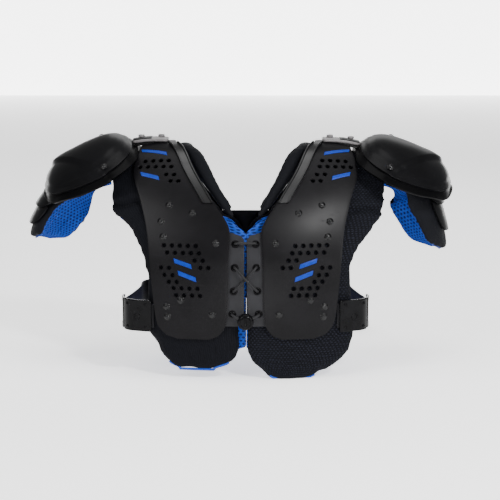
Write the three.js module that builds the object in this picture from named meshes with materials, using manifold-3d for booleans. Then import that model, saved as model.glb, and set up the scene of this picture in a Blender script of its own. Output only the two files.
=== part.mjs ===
// A pair of football shoulder pads: two halves laced at the chest and joined at the back. Each half is a
// hard arch over a fabric pad, with a shoulder cap, an epaulet, an arm flap, a neck roll and a side belt.
// Millimetres: +X to the viewer's right, +Y away from the viewer's side of the chest, +Z up.
import * as THREE from "three";
import { mergeVertices } from "three/addons/utils/BufferGeometryUtils.js";
import Module from "manifold-3d";

const wasm = await Module();
wasm.setup();

const rad = THREE.MathUtils.degToRad;

// The trunk form that every layer follows, seen from the side: a tight bend over the shoulder, a wide one
// down the chest or the back, and a straight end. Turns are in degrees from level.
const SHOULDER_HEIGHT = 289.5;
const SHOULDER_RADIUS = 72;
const FRONT = { away: -1, crownTurn: 50, radius: 280, endTurn: 95 };
const BACK = { away: 1, crownTurn: 55, radius: 240, endTurn: 98 };
const HALF_WIDTH = 150;
const SIDE_WRAP = 26;
const SHOULDER_DROOP = 20;
const DROOP_START = 100;
const HEM_DEPTH = 9;

// Walls and clearances
const CLEARANCE = 0.4;
const LAYER_GAP = 0.9;
const CURVED_GAP = 1.3;
const PAD_WALL = 12;
const PAD_EDGE_ROUNDING = 3.5;
const LINER_WALL = 4;
const LINER_INSET = 5;
const FLAP_WALL = 2.4;
const ARCH_WALL = 3;
const NECK_MARGIN = 0.8;

// Neck roll and neck rail
const ROLL_WIDTH = 28;
const ROLL_DEPTH = 20;
const ROLL_LIFT = -4;
const RAIL_WIDTH = 14;
const RAIL_HEIGHT = 4;
const RAIL_FLOOR = 1.2;
const RAIL_LIP = 2;
const RAIL_EDGE_GAP = 1.5;

// Vent holes
const VENT_DIAMETER = 5.4;
const VENT_SIDES = 5;

// Shoulder bar, bolts and rivets
const BAR_WIDTH = 34;
const BAR_WALL = 3.6;
const BAR_START = 8;
const BAR_BOW = 2;
const BOLT_DIAMETER = 9;
const BOLT_HEIGHT = 3;
const RIVET_DIAMETER = 9.6;
const RIVET_HEIGHT = 3.2;

// Shoulder cap and epaulet: domes of one form
const CAP_REACH = 32.75;
const CAP_DROP = 18.5;
const CAP_HALF_LENGTH = 66.5;
const CAP_HALF_WIDTH = 78;
const CAP_CROWN = 22;
const CAP_SAG = 22;
const CAP_WALL = 3.6;
const CAP_STEP = 2.4;
const CAP_SQUARENESS = 3;
const CAP_FULLNESS = 4;
const EPAULET_WALL = 3;
const EPAULET_MARGIN = 5;

// Arm flap
const ARM_REACH = 108;
const ARM_DROP = 110;
const ARM_RADIUS = 50;
const ARM_PAD_WALL = 8;
const ARM_EDGE_ROUNDING = 2;
const ARM_LINER_WALL = 3;
const ARM_LINER_GAP = 2.2;
const CUP_WALL = 2.4;
const ARM_SETBACK = 4;

// Lacing
const EYELET_DIAMETER = 10;
const EYELET_BORE = 4.8;
const EYELET_HEIGHT = 2.4;
const LACE_DIAMETER = 3.4;
const LACE_RISE = 7;
const LOCK_DIAMETER = 21;
const LOCK_HEIGHT = 11;
const LOCK_SLOT = { width: 3, length: 9, depth: 3 };
const FLAP_UNDERLAP = 0.27;
const CENTRE_GAP = 3.6;

// Back panel
const PANEL_HALF_WIDTH = 40;

// Side belt
const BELT_WIDTH = 32;
const BELT_WALL = 2.2;
const BELT_HEIGHT = 84;
const BELT_BOW = 40;
const BELT_SEAT = 14;
const BRACKET_WIDTH = 42;
const BRACKET_WALL = 3.4;
const BUCKLE_WIDTH = 40;
const BUCKLE_WALL = 3;
const BUCKLE_RIM = 5;
const STRAP_END_WIDTH = 27;
const STRAP_END_WALL = 1.8;

// What differs between the two sides: caps and arm flaps hang loose and lie a little differently. capPast is
// a share of CAP_REACH past the body pads' arm edges, capDrop a share of CAP_DROP below SHOULDER_HEIGHT.
const SIDES = [
  { name: "left", hand: -1, capPast: 0.8777, capDrop: 1, capTilt: 24 },
  { name: "right", hand: 1, capPast: 1, capDrop: 0.946, capTilt: 20 },
];

// Outline of the arch. share runs from the shoulder line (0) to the chest hem height (1) or the back's (-1);
// neck and arm are the distances of its two edges from the middle, as shares of HALF_WIDTH.
const ARCH_ROWS = [
  { share: 0.862, neck: 0.31, arm: 0.6 },
  { share: 0.848, neck: 0.24, arm: 0.69 },
  { share: 0.8, neck: 0.17, arm: 0.775 },
  { share: 0.72, neck: 0.157, arm: 0.803 },
  { share: 0.58, neck: 0.15, arm: 0.835 },
  { share: 0.46, neck: 0.135, arm: 0.862 },
  { share: 0.34, neck: 0.28, arm: 0.92 },
  { share: 0.21, neck: 0.44, arm: 0.99 },
  { share: 0.1, neck: 0.54, arm: 0.95 },
  { share: 0, neck: 0.64, arm: 0.925 },
  { share: -0.1, neck: 0.62, arm: 0.94 },
  { share: -0.22, neck: 0.53, arm: 0.98 },
  { share: -0.34, neck: 0.37, arm: 0.92 },
  { share: -0.44, neck: 0.22, arm: 0.87 },
  { share: -0.56, neck: 0.13, arm: 0.84 },
  { share: -0.72, neck: 0.13, arm: 0.81 },
  { share: -0.81, neck: 0.16, arm: 0.78 },
  { share: -0.86, neck: 0.3, arm: 0.6 },
];

// Outline of the body pad in the same shares. centre is its edge at the middle of the chest or back; above
// the chest the pad ends at the arch's own neck edge.
const PAD_TOP_ROWS = [
  { share: 0.12, centre: 1, arm: 1.235 },
  { share: 0, centre: 1, arm: 1.235 },
  { share: -0.12, centre: 1, arm: 1.235 },
  { share: -0.25, centre: 1, arm: 1.2 },
  { share: -0.38, centre: 1, arm: 1.14 },
  { share: -0.455, centre: 0.12, arm: 1.04 },
  { share: -0.52, centre: 0.02, arm: 0.96 },
  { share: -0.6, centre: 0.02, arm: 0.9 },
  { share: -0.86, centre: 0.02, arm: 0.86 },
  { share: -0.95, centre: 0.02, arm: 0.8 },
  { share: -1, centre: 0.04, arm: 0.72 },
  { share: -1.035, centre: 0.1, arm: 0.62 },
];
const PAD_ROWS = {
  left: [
    { share: 0.986, centre: 0.26, arm: 0.59 },
    { share: 0.965, centre: 0.14, arm: 0.68 },
    { share: 0.94, centre: 0.08, arm: 0.72 },
    { share: 0.9, centre: 0.067, arm: 0.76 },
    { share: 0.838, centre: 0.067, arm: 0.853 },
    { share: 0.657, centre: 0.067, arm: 0.855 },
    { share: 0.54, centre: 0.067, arm: 0.91 },
    { share: 0.465, centre: 0.067, arm: 0.99 },
    { share: 0.42, centre: 1, arm: 1.06 },
    { share: 0.38, centre: 1, arm: 1.16 },
    { share: 0.33, centre: 1, arm: 1.195 },
    { share: 0.26, centre: 1, arm: 1.18 },
    ...PAD_TOP_ROWS,
  ],
  right: [
    { share: 1.04, centre: 0.3, arm: 0.5 },
    { share: 1.015, centre: 0.2, arm: 0.62 },
    { share: 0.985, centre: 0.12, arm: 0.77 },
    { share: 0.96, centre: 0.07, arm: 0.84 },
    { share: 0.9, centre: 0.02, arm: 0.925 },
    { share: 0.86, centre: 0.015, arm: 0.95 },
    { share: 0.6, centre: 0.015, arm: 0.92 },
    { share: 0.54, centre: 0.015, arm: 0.97 },
    { share: 0.465, centre: 0.02, arm: 1.09 },
    { share: 0.42, centre: 1, arm: 1.16 },
    { share: 0.38, centre: 1, arm: 1.22 },
    { share: 0.27, centre: 1, arm: 1.235 },
    ...PAD_TOP_ROWS,
  ],
};

// Rows of vent holes: share as above, first is the hole nearest the arm as a share of HALF_WIDTH, and the
// rest follow towards the neck at one pitch.
const VENT_PITCH = 0.069;
const VENT_ROWS = [
  { share: 0.162, first: 0.885, count: 4 },
  { share: 0.19, first: 0.93, count: 5 },
  { share: 0.225, first: 0.697, count: 2 },
  { share: 0.253, first: 0.658, count: 2 },
  { share: 0.51, first: 0.706, count: 5 },
  { share: 0.537, first: 0.679, count: 5 },
  { share: 0.564, first: 0.44, count: 2 },
  { share: 0.591, first: 0.39, count: 2 },
  { share: 0.594, first: 0.732, count: 2 },
  { share: 0.621, first: 0.702, count: 2 },
  { share: 0.646, first: 0.664, count: 2 },
  { share: 0.669, first: 0.622, count: 4 },
  { share: 0.695, first: 0.6, count: 4 },
];

// The lace flap: front is its edge at the middle, as a share of HALF_WIDTH past half the centre gap.
const FLAP_ROWS = [
  { share: 0.812, front: 0.03 },
  { share: 0.8, front: 0 },
  { share: 0.64, front: 0 },
  { share: 0.485, front: 0 },
  { share: 0.468, front: 0.03 },
  { share: 0.458, front: 0.09 },
];
const EYELET_ROWS = [
  { share: 0.5, across: 0.088 },
  { share: 0.589, across: 0.094 },
  { share: 0.677, across: 0.102 },
  { share: 0.764, across: 0.115 },
];
const LOCK_SHARE = 0.79;

// The arm flap from the body pad's arm edge outwards and down. out and drop are shares of ARM_REACH and
// ARM_DROP, turn is the slope in degrees, round is a share of ARM_RADIUS, fore and aft are the angles in
// degrees to which the flap wraps to the chest side and to the back side.
const ARM_ROWS = {
  left: [
    { out: 0, drop: 0, turn: 0, round: 1.3, fore: 46, aft: 60 },
    { out: 0.35, drop: 0.05, turn: 20, round: 1.22, fore: 52, aft: 70 },
    { out: 0.62, drop: 0.26, turn: 45, round: 1.1, fore: 58, aft: 88 },
    { out: 0.81, drop: 0.47, turn: 62, round: 1, fore: 52, aft: 106 },
    { out: 0.94, drop: 0.68, turn: 66, round: 0.9, fore: 54, aft: 112 },
    { out: 1, drop: 0.83, turn: 68, round: 0.8, fore: 58, aft: 108 },
    { out: 1.03, drop: 0.92, turn: 70, round: 0.74, fore: 30, aft: 70 },
  ],
  right: [
    { out: 0, drop: 0, turn: 0, round: 1.3, fore: 46, aft: 60 },
    { out: 0.33, drop: 0.05, turn: 22, round: 1.22, fore: 58, aft: 70 },
    { out: 0.55, drop: 0.24, turn: 48, round: 1.1, fore: 74, aft: 88 },
    { out: 0.68, drop: 0.42, turn: 70, round: 1, fore: 84, aft: 108 },
    { out: 0.78, drop: 0.72, turn: 76, round: 0.9, fore: 80, aft: 110 },
    { out: 0.83, drop: 0.95, turn: 79, round: 0.8, fore: 74, aft: 100 },
    { out: 0.85, drop: 1.07, turn: 81, round: 0.72, fore: 40, aft: 56 },
  ],
};
// The hard cups: first and last are rows of the table above, the angles shrink by taper towards the hem.
const CUPS = [
  { name: "arm_cup_lower", first: 3, last: 4.5, fore: 44, aft: 80, layer: 0 },
  { name: "arm_cup_upper", first: 2.2, last: 3.35, fore: 48, aft: 74, layer: 1 },
];
const CUP_TAPER = 0.3;

// The belt in plan: deep runs from its chest seat (0) to its back seat (1), and out is how far it bows out
// from the line between them, as a share of BELT_BOW.
const BELT_PLAN = [
  { out: 0.53, deep: 0.05 },
  { out: 0.77, deep: 0.17 },
  { out: 0.67, deep: 0.36 },
  { out: 0.55, deep: 0.62 },
  { out: 0.54, deep: 0.9 },
];
// Where the pieces on the belt start and end along it
const BRACKET_SPAN = { first: 0.01, last: 0.17 };
const BUCKLE_SPAN = { first: 0.185, last: 0.29 };
const STRAP_END_SPAN = { first: 0.3, last: 0.4 };

// Finishes
const finish = (color, roughness, metalness = 0) =>
  new THREE.MeshStandardMaterial({ color, roughness, metalness });
const SHELL = finish("#222225", 0.38);
const GLOSS = finish("#151517", 0.2);
const FABRIC = finish("#17181c", 0.9);
const CUSHION = finish("#1b1b1f", 0.8);
const MESH = finish("#1d55b8", 0.85);
const FLAP = finish("#2e2e31", 0.5);
const METAL = finish("#8a8888", 0.35, 0.8);
const WEBBING = finish("#141416", 0.85);
const STRAP_GREY = finish("#9a9a9c", 0.6);

// Forms

const PAD_REACH = HALF_WIDTH * Math.max(...Object.values(PAD_ROWS).flat().map(({ arm }) => arm));

// How far the form runs from the shoulder line to hem height on one face.
function faceLength(face) {
  const first = rad(face.crownTurn);
  const last = rad(face.endTurn);
  const bends = SHOULDER_RADIUS * first + face.radius * (last - first);
  const fallen =
    SHOULDER_RADIUS * (1 - Math.cos(first)) + face.radius * (Math.cos(first) - Math.cos(last));
  return bends + (SHOULDER_HEIGHT - fallen) / Math.sin(last);
}

// The form seen from the side: how far out and up it is after a run from the shoulder line, and its slope.
function profile(face, run) {
  const first = rad(face.crownTurn);
  const last = rad(face.endTurn);
  const crownRun = SHOULDER_RADIUS * first;
  const bodyRun = face.radius * (last - first);
  const onCrown = Math.min(run / SHOULDER_RADIUS, first);
  const turn = Math.min(onCrown + Math.max(run - crownRun, 0) / face.radius, last);
  const straight = Math.max(run - crownRun - bodyRun, 0);
  const out =
    SHOULDER_RADIUS * Math.sin(onCrown) +
    face.radius * Math.max(Math.sin(turn) - Math.sin(onCrown), turn > Math.PI / 2 ? -Infinity : 0) +
    straight * Math.cos(last);
  const fall =
    SHOULDER_RADIUS * (1 - Math.cos(onCrown)) +
    face.radius * (Math.cos(onCrown) - Math.cos(turn)) +
    straight * Math.sin(last);
  return { out, up: SHOULDER_HEIGHT - fall, turn };
}

// A point of the form: x across, share along (front above 0, back below), lift outwards.
function onForm(x, share, lift) {
  const face = share >= 0 ? FRONT : BACK;
  const { out, up, turn } = profile(face, Math.abs(share) * faceLength(face));
  const across = Math.abs(x) / HALF_WIDTH;
  const wrap = SIDE_WRAP * across ** 2 * Math.sin(Math.min(turn, Math.PI / 2)) ** 2;
  const past = Math.max(Math.abs(x) - DROOP_START, 0) / (PAD_REACH - DROOP_START);
  const droop = SHOULDER_DROOP * past ** 2 * Math.cos(Math.min(turn, Math.PI / 2)) ** 2;
  return new THREE.Vector3(
    x,
    face.away * (out - wrap + lift * Math.sin(turn)),
    up - droop + lift * Math.cos(turn),
  );
}

// The outward normal of the form at a point.
function formNormal(x, share) {
  const step = 0.004;
  const across = onForm(x + step * HALF_WIDTH, share, 0).sub(onForm(x - step * HALF_WIDTH, share, 0));
  const along = onForm(x, share - step, 0).sub(onForm(x, share + step, 0));
  const normal = across.cross(along).normalize();
  const outwards = onForm(x, share, 1).sub(onForm(x, share, 0));
  return normal.dot(outwards) < 0 ? normal.negate() : normal;
}

// A column of a table at a share, straight between its rows.
function column(rows, key, share) {
  const next = rows.findIndex((row) => row.share <= share);
  if (next <= 0) return rows[next === 0 ? 0 : rows.length - 1][key];
  const [above, below] = [rows[next - 1], rows[next]];
  const part = (above.share - share) / (above.share - below.share);
  return above[key] + part * (below[key] - above[key]);
}

// The shares of a table's rows, with more between them where they are further apart than a step.
function stations(rows, step) {
  const shares = [rows[0].share];
  for (const { share } of rows.slice(1)) {
    const from = shares.at(-1);
    const count = Math.max(Math.round((from - share) / step), 1);
    for (let i = 1; i <= count; i++) shares.push(from + ((share - from) * i) / count);
  }
  return shares;
}

// Solids

// A geometry as one closed indexed body whose faces point out.
function closed(geometry) {
  geometry.deleteAttribute("normal");
  geometry.deleteAttribute("uv");
  const merged = mergeVertices(geometry, 1e-4);
  const at = merged.attributes.position;
  const index = merged.index.array;
  const [a, b, c] = [new THREE.Vector3(), new THREE.Vector3(), new THREE.Vector3()];
  let volume = 0;
  for (let i = 0; i < index.length; i += 3) {
    a.fromBufferAttribute(at, index[i]);
    b.fromBufferAttribute(at, index[i + 1]);
    c.fromBufferAttribute(at, index[i + 2]);
    volume += a.dot(b.cross(c));
  }
  if (volume < 0)
    for (let i = 0; i < index.length; i += 3) [index[i], index[i + 1]] = [index[i + 1], index[i]];
  return merged;
}

// A geometry with every vertex moved by a function of its old place.
function bent(geometry, place) {
  const at = geometry.attributes.position;
  for (let i = 0; i < at.count; i++) {
    const { x, y, z } = place(at.getX(i), at.getY(i), at.getZ(i));
    at.setXYZ(i, x, y, z);
  }
  return closed(geometry);
}

// A thin body over a grid: place gives the point at a column, a row and the inner (0) or outer (1) face.
function sheet(columns, rows, place) {
  const box = new THREE.BoxGeometry(1, 1, 1, columns.length - 1, rows.length - 1, 1);
  return bent(box, (x, y, z) =>
    place(
      columns[Math.round((x + 0.5) * (columns.length - 1))],
      rows[Math.round((y + 0.5) * (rows.length - 1))],
      z + 0.5,
    ),
  );
}

const evenly = (count, from = 0, to = 1) =>
  Array.from({ length: count + 1 }, (_, i) => from + ((to - from) * i) / count);

function toManifold(geometry) {
  return new wasm.Manifold(
    new wasm.Mesh({
      numProp: 3,
      vertProperties: geometry.attributes.position.array,
      triVerts: new Uint32Array(geometry.index.array),
    }),
  );
}

function fromManifold(solid) {
  const { vertProperties, triVerts } = solid.getMesh();
  return new THREE.BufferGeometry()
    .setAttribute("position", new THREE.BufferAttribute(vertProperties, 3))
    .setIndex(new THREE.BufferAttribute(triVerts, 1));
}

const cut = (geometry, tools) =>
  fromManifold(tools.reduce((body, tool) => body.subtract(toManifold(tool)), toManifold(geometry)));
const join = (first, ...others) =>
  fromManifold(others.reduce((body, other) => body.add(toManifold(other)), toManifold(first)));

// Stands a geometry that points up +Y on a point, along a normal.
function seated(geometry, point, normal) {
  const turn = new THREE.Quaternion().setFromUnitVectors(new THREE.Vector3(0, 1, 0), normal);
  return closed(geometry.applyQuaternion(turn).translate(point.x, point.y, point.z));
}

// A turned piece from its half outline, each point as [radius, height].
const turned = (outline, sides) =>
  new THREE.LatheGeometry(outline.map(([r, h]) => new THREE.Vector2(r, h)), sides);

function button(diameter, height) {
  const outline = [
    [0, 0],
    [0.5, 0],
    [0.36, 0.75],
    [0, 1],
  ];
  return turned(outline.map(([r, h]) => [r * diameter, h * height]), 8);
}

// A round cord through a few points.
function tube(points, diameter, sides, steps) {
  const section = new THREE.Shape(
    evenly(sides - 1).map((_, i) => {
      const turn = (2 * Math.PI * i) / sides;
      return new THREE.Vector2(Math.cos(turn), Math.sin(turn)).multiplyScalar(diameter / 2);
    }),
  );
  const path = new THREE.CatmullRomCurve3(points);
  return closed(
    new THREE.ExtrudeGeometry(section, { extrudePath: path, steps, bevelEnabled: false }),
  );
}

// Layers of the trunk

const FLAP_OUT = LAYER_GAP + FLAP_WALL;
const ARCH_IN = FLAP_OUT + LAYER_GAP;
const ARCH_OUT = ARCH_IN + ARCH_WALL;
const neckEdge = (share) => column(ARCH_ROWS, "neck", share) * HALF_WIDTH;

function arch({ hand }) {
  const body = sheet(evenly(4), stations(ARCH_ROWS, 0.08), (u, share, face) => {
    const arm = column(ARCH_ROWS, "arm", share) * HALF_WIDTH;
    const x = THREE.MathUtils.lerp(neckEdge(share), arm, u);
    return onForm(hand * x, share, ARCH_IN + face * ARCH_WALL);
  });
  const vents = VENT_ROWS.flatMap(({ share, first, count }) =>
    evenly(count - 1, 0, count - 1).map((i) => {
      const x = hand * (first - i * VENT_PITCH) * HALF_WIDTH;
      const drill = new THREE.CylinderGeometry(
        VENT_DIAMETER / 2,
        VENT_DIAMETER / 2,
        4 * ARCH_WALL,
        VENT_SIDES,
      );
      return seated(drill, onForm(x, share, ARCH_IN + ARCH_WALL / 2), formNormal(x, share));
    }),
  );
  return cut(body, vents);
}

// The two edges of a body pad at a share.
function padEdges(side, share) {
  const rows = PAD_ROWS[side.name];
  const neck = Math.min(neckEdge(share) + NECK_MARGIN, column(rows, "centre", share) * HALF_WIDTH);
  return [neck, column(rows, "arm", share) * HALF_WIDTH];
}

const PAD_COLUMNS = [0, 0.04, 0.35, 0.65, 0.96, 1];
const PAD_STEP = 0.09;

function bodyPad(side) {
  const rows = stations(PAD_ROWS[side.name], PAD_STEP);
  const body = sheet(PAD_COLUMNS, rows, (u, share, face) => {
    const [neck, arm] = padEdges(side, share);
    const rim = u === 0 || u === 1 ? 1 : 0;
    const lift = face ? -rim * PAD_EDGE_ROUNDING : rim * PAD_EDGE_ROUNDING - PAD_WALL;
    return onForm(side.hand * THREE.MathUtils.lerp(neck, arm, u), share, lift);
  });
  return cut(body, [belowHem(HEM_DEPTH)]);
}

// Everything lower than a depth under hem height.
function belowHem(depth) {
  const size = 8 * HALF_WIDTH;
  return closed(new THREE.BoxGeometry(size, size, size).translate(0, 0, -depth - size / 2));
}

function liner(side) {
  const rows = stations(PAD_ROWS[side.name], PAD_STEP);
  const body = sheet([0, 0.35, 0.65, 1], rows, (u, share, face) => {
    const [neck, arm] = padEdges(side, share);
    const x = THREE.MathUtils.lerp(neck + LINER_INSET, arm - LINER_INSET, u);
    return onForm(side.hand * x, share, (face - 1) * LINER_WALL - CURVED_GAP - PAD_WALL);
  });
  return cut(body, [belowHem(HEM_DEPTH - LINER_INSET)]);
}

// Along the neck edge
const ROLL_ENDS = { front: 0.4, back: -0.43 };
const RAIL_ENDS = { front: 0.345, back: 0.06 };

function neckRoll({ hand }) {
  const roll = new THREE.SphereGeometry(1, 8, 14);
  return bent(roll, (x, y, z) => {
    const along = Math.acos(THREE.MathUtils.clamp(-y, -1, 1)) / Math.PI;
    const share = THREE.MathUtils.lerp(ROLL_ENDS.front, ROLL_ENDS.back, along);
    const ring = Math.hypot(x, z);
    const fullness = ring > 0 ? Math.min(1, ring ** 0.4) / ring : 0;
    const middle = neckEdge(share) + NECK_MARGIN - CLEARANCE - ROLL_WIDTH / 2;
    return onForm(
      hand * (middle + (x * fullness * ROLL_WIDTH) / 2),
      share,
      ROLL_LIFT + (z * fullness * ROLL_DEPTH) / 2,
    );
  });
}

function neckRail({ hand }) {
  const outline = [
    [0, 0],
    [RAIL_WIDTH, 0],
    [RAIL_WIDTH, RAIL_HEIGHT],
    [RAIL_WIDTH - RAIL_LIP, RAIL_HEIGHT],
    [RAIL_WIDTH - RAIL_LIP, RAIL_FLOOR],
    [RAIL_LIP, RAIL_FLOOR],
    [RAIL_LIP, RAIL_HEIGHT],
    [0, RAIL_HEIGHT],
  ];
  const section = new THREE.Shape(outline.map(([across, up]) => new THREE.Vector2(across, up)));
  const strip = new THREE.ExtrudeGeometry(section, { depth: 1, steps: 8, bevelEnabled: false });
  return bent(strip, (across, up, along) => {
    const share = THREE.MathUtils.lerp(RAIL_ENDS.front, RAIL_ENDS.back, along);
    const x = neckEdge(share) + RAIL_EDGE_GAP + across;
    return onForm(hand * x, share, ARCH_OUT + CLEARANCE + up);
  });
}

// Shoulder bar

// A point of the bar, which runs from the arch to the cap's inner end: part along it, deep away from the
// chest side, and its lower (0) or upper (1) face.
function onBar(side, part, deep, face) {
  const start = side.hand * (neckEdge(0) + BAR_START);
  const share = -deep / faceLength(deep > 0 ? BACK : FRONT);
  const onArch = onForm(start, share, ARCH_OUT + CLEARANCE + face * BAR_WALL);
  const atCap = onDome(side, -CAP_HALF_LENGTH - CLEARANCE, deep, (face - 1) * CAP_WALL);
  const bow = new THREE.Vector3(0, 0, 4 * BAR_BOW * part * (1 - part));
  return onArch.lerp(atCap, part).add(bow);
}

const shoulderBar = (side) =>
  sheet(evenly(2), evenly(4, -BAR_WIDTH / 2, BAR_WIDTH / 2), (part, deep, face) =>
    onBar(side, part, deep, face),
  );

function barBolt(side, part) {
  const top = onBar(side, part, 0, 1).add(new THREE.Vector3(0, 0, CLEARANCE));
  return seated(button(BOLT_DIAMETER, BOLT_HEIGHT), top, new THREE.Vector3(0, 0, 1));
}

// Cap and epaulet

// A point of the dome: along from its middle towards the arm, deep away from the chest side, lift up.
function onDome({ hand, capPast, capDrop, capTilt }, along, deep, lift) {
  const [a, b] = [along / CAP_HALF_LENGTH, deep / CAP_HALF_WIDTH];
  const step = CAP_STEP * THREE.MathUtils.smoothstep(a + 0.25 * b, 0.3, 0.42);
  const fall = Math.min(Math.abs(a), 1) ** CAP_FULLNESS + Math.max(Math.abs(a) - 1, 0);
  const rise = CAP_CROWN * (1 - fall - b ** 2) - CAP_SAG * b ** 2 - step + lift;
  const slope = rad(capTilt);
  const middle = PAD_REACH + capPast * CAP_REACH;
  return new THREE.Vector3(
    hand * (middle + along * Math.cos(slope) + rise * Math.sin(slope)),
    deep,
    SHOULDER_HEIGHT - capDrop * CAP_DROP - along * Math.sin(slope) + rise * Math.cos(slope),
  );
}

// A shell of the dome: rings are shares of the cap's outline, and the last ring may lie a margin past it.
const CAP_RINGS = [0, 0.35, 0.63, 0.84, 1];

function dome(side, rings, margin, lift, wall) {
  const outline = [...rings.map((r) => [r, 1]), ...rings.toReversed().map((r) => [r, 0])];
  return bent(turned(outline, 18), (x, face, z) => {
    const ring = Math.hypot(x, z);
    const spread = CAP_SQUARENESS;
    const square = ring > 0 ? ring / (Math.abs(x) ** spread + Math.abs(z) ** spread) ** (1 / spread) : 0;
    const past = ring > 1 ? margin : 0;
    const scale = ring > 0 ? (square * Math.min(ring, 1)) / ring : 0;
    return onDome(
      side,
      x * scale * (CAP_HALF_LENGTH + past),
      z * scale * (CAP_HALF_WIDTH + past),
      lift - wall + face * wall,
    );
  });
}

const cap = (side) => dome(side, CAP_RINGS, 0, 0, CAP_WALL);
const epaulet = (side) =>
  dome(side, [...CAP_RINGS, 2], EPAULET_MARGIN, -CAP_WALL - CURVED_GAP, EPAULET_WALL);

function capRivet(side, along, deep) {
  const at = onDome(side, along * CAP_HALF_LENGTH, deep * CAP_HALF_WIDTH, CLEARANCE);
  const step = 2;
  const lengthwise = onDome(side, along * CAP_HALF_LENGTH + step, deep * CAP_HALF_WIDTH, 0);
  const crosswise = onDome(side, along * CAP_HALF_LENGTH, deep * CAP_HALF_WIDTH + step, 0);
  const base = onDome(side, along * CAP_HALF_LENGTH, deep * CAP_HALF_WIDTH, 0);
  const normal = lengthwise.sub(base).cross(crosswise.sub(base)).normalize();
  if (normal.z < 0) normal.negate();
  return seated(button(RIVET_DIAMETER, RIVET_HEIGHT), at, normal);
}

// Arm flap

// A column of the arm table at a row number, curving smoothly through the rows.
function armColumn(rows, key, row) {
  const last = rows.length - 1;
  const i = Math.min(Math.floor(row), last - 1);
  const f = row - i;
  const [p0, p1, p2, p3] = [i - 1, i, i + 1, i + 2].map(
    (n) => rows[THREE.MathUtils.clamp(n, 0, last)][key],
  );
  return (
    p1 +
    0.5 * f * (p2 - p0 + f * (2 * p0 - 5 * p1 + 4 * p2 - p3 + f * (3 * (p1 - p2) + p3 - p0)))
  );
}

// A point of the arm flap: row of the table, angle in degrees (chest side below 0), lift outwards.
function onArm(side, row, angle, lift) {
  const rows = ARM_ROWS[side.name];
  const start = onForm(PAD_REACH + CLEARANCE, 0, 0);
  const out = start.x + armColumn(rows, "out", row) * ARM_REACH;
  const up = start.z - armColumn(rows, "drop", row) * ARM_DROP;
  const turn = rad(armColumn(rows, "turn", row));
  const radius = armColumn(rows, "round", row) * ARM_RADIUS;
  const outwards = (radius + lift) * Math.cos(rad(angle)) - radius;
  return new THREE.Vector3(
    side.hand * (out + outwards * Math.sin(turn)),
    -ARM_SETBACK + (radius + lift) * Math.sin(rad(angle)),
    up + outwards * Math.cos(turn),
  );
}

function armSheet(side, { first, last, rows, columns, inner, outer, rim }, limits) {
  return sheet(evenly(columns), evenly(rows, first, last), (u, row, face) => {
    const [fore, aft] = limits(row);
    const edge = u === 0 || u === 1 ? rim : 0;
    const lift = face ? outer - edge : inner + edge;
    return onArm(side, row, THREE.MathUtils.lerp(-fore, aft, u), lift);
  });
}

const ARM_GRID = { first: 0, last: 6, rows: 7, columns: 7 };
const armLimits = (side) => (row) =>
  ["fore", "aft"].map((key) => armColumn(ARM_ROWS[side.name], key, row));

function armPad(side) {
  const size = { ...ARM_GRID, inner: -ARM_PAD_WALL, outer: 0, rim: ARM_EDGE_ROUNDING };
  return armSheet(side, size, armLimits(side));
}

function armLiner(side) {
  const outer = -ARM_PAD_WALL - ARM_LINER_GAP;
  const inner = outer - ARM_LINER_WALL;
  return armSheet(side, { ...ARM_GRID, inner, outer, rim: 0 }, armLimits(side));
}

function armCup(side, { first, last, fore, aft, layer }) {
  const inner = CURVED_GAP + layer * (CUP_WALL + CURVED_GAP);
  const size = { first, last, rows: 4, columns: 6, inner, outer: inner + CUP_WALL, rim: 0 };
  return armSheet(side, size, (row) => {
    const share = (row - first) / (last - first);
    const narrower = 1 - CUP_TAPER * share ** 3;
    return [fore * narrower, aft * narrower];
  });
}

// Lacing


const flapFront = (share) => CENTRE_GAP / 2 + column(FLAP_ROWS, "front", share) * HALF_WIDTH;

function laceFlap({ hand }) {
  const body = sheet(evenly(2), stations(FLAP_ROWS, 0.085), (u, share, face) => {
    const x = THREE.MathUtils.lerp(flapFront(share), FLAP_UNDERLAP * HALF_WIDTH, u);
    return onForm(hand * x, share, LAYER_GAP + face * FLAP_WALL);
  });
  const bores = EYELET_ROWS.map(({ share, across }) => {
    const x = hand * across * HALF_WIDTH;
    const drill = new THREE.CylinderGeometry(EYELET_BORE / 2, EYELET_BORE / 2, 4 * FLAP_WALL, 6);
    return seated(drill, onForm(x, share, FLAP_WALL / 2), formNormal(x, share));
  });
  return cut(body, bores);
}

function eyelet({ hand }, { share, across }) {
  const [rim, bore, height] = [EYELET_DIAMETER / 2, EYELET_BORE / 2, EYELET_HEIGHT];
  const outline = [
    [bore, 0],
    [rim, 0],
    [rim * 0.8, height],
    [bore, height * 0.8],
    [bore, 0],
  ];
  const x = hand * across * HALF_WIDTH;
  return seated(
    turned(outline, 8),
    onForm(x, share, FLAP_OUT + CLEARANCE),
    formNormal(x, share),
  );
}

// A lace run between the eyelets of two rows, or from one to a point: down in the bore at each eyelet.
const overEyelet = (hand, row, lift) =>
  onForm(hand * EYELET_ROWS[row].across * HALF_WIDTH, EYELET_ROWS[row].share, lift);
const LACE_TOP = FLAP_OUT + LACE_RISE;

function laceRun(leftRow, rightRow, extra) {
  const [from, to] = [overEyelet(-1, leftRow, LACE_TOP), overEyelet(1, rightRow, LACE_TOP)];
  const share = (EYELET_ROWS[leftRow].share + EYELET_ROWS[rightRow].share) / 2;
  const points = [
    overEyelet(-1, leftRow, CLEARANCE),
    overEyelet(-1, leftRow, LACE_TOP - LACE_DIAMETER * 0.6),
    from.lerp(to, 0.17),
    onForm(0, share, LACE_TOP + extra),
    to.lerp(from, 0.2),
    overEyelet(1, rightRow, LACE_TOP - LACE_DIAMETER * 0.6),
    overEyelet(1, rightRow, CLEARANCE),
  ];
  return tube(points, LACE_DIAMETER, 6, 11);
}

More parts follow.
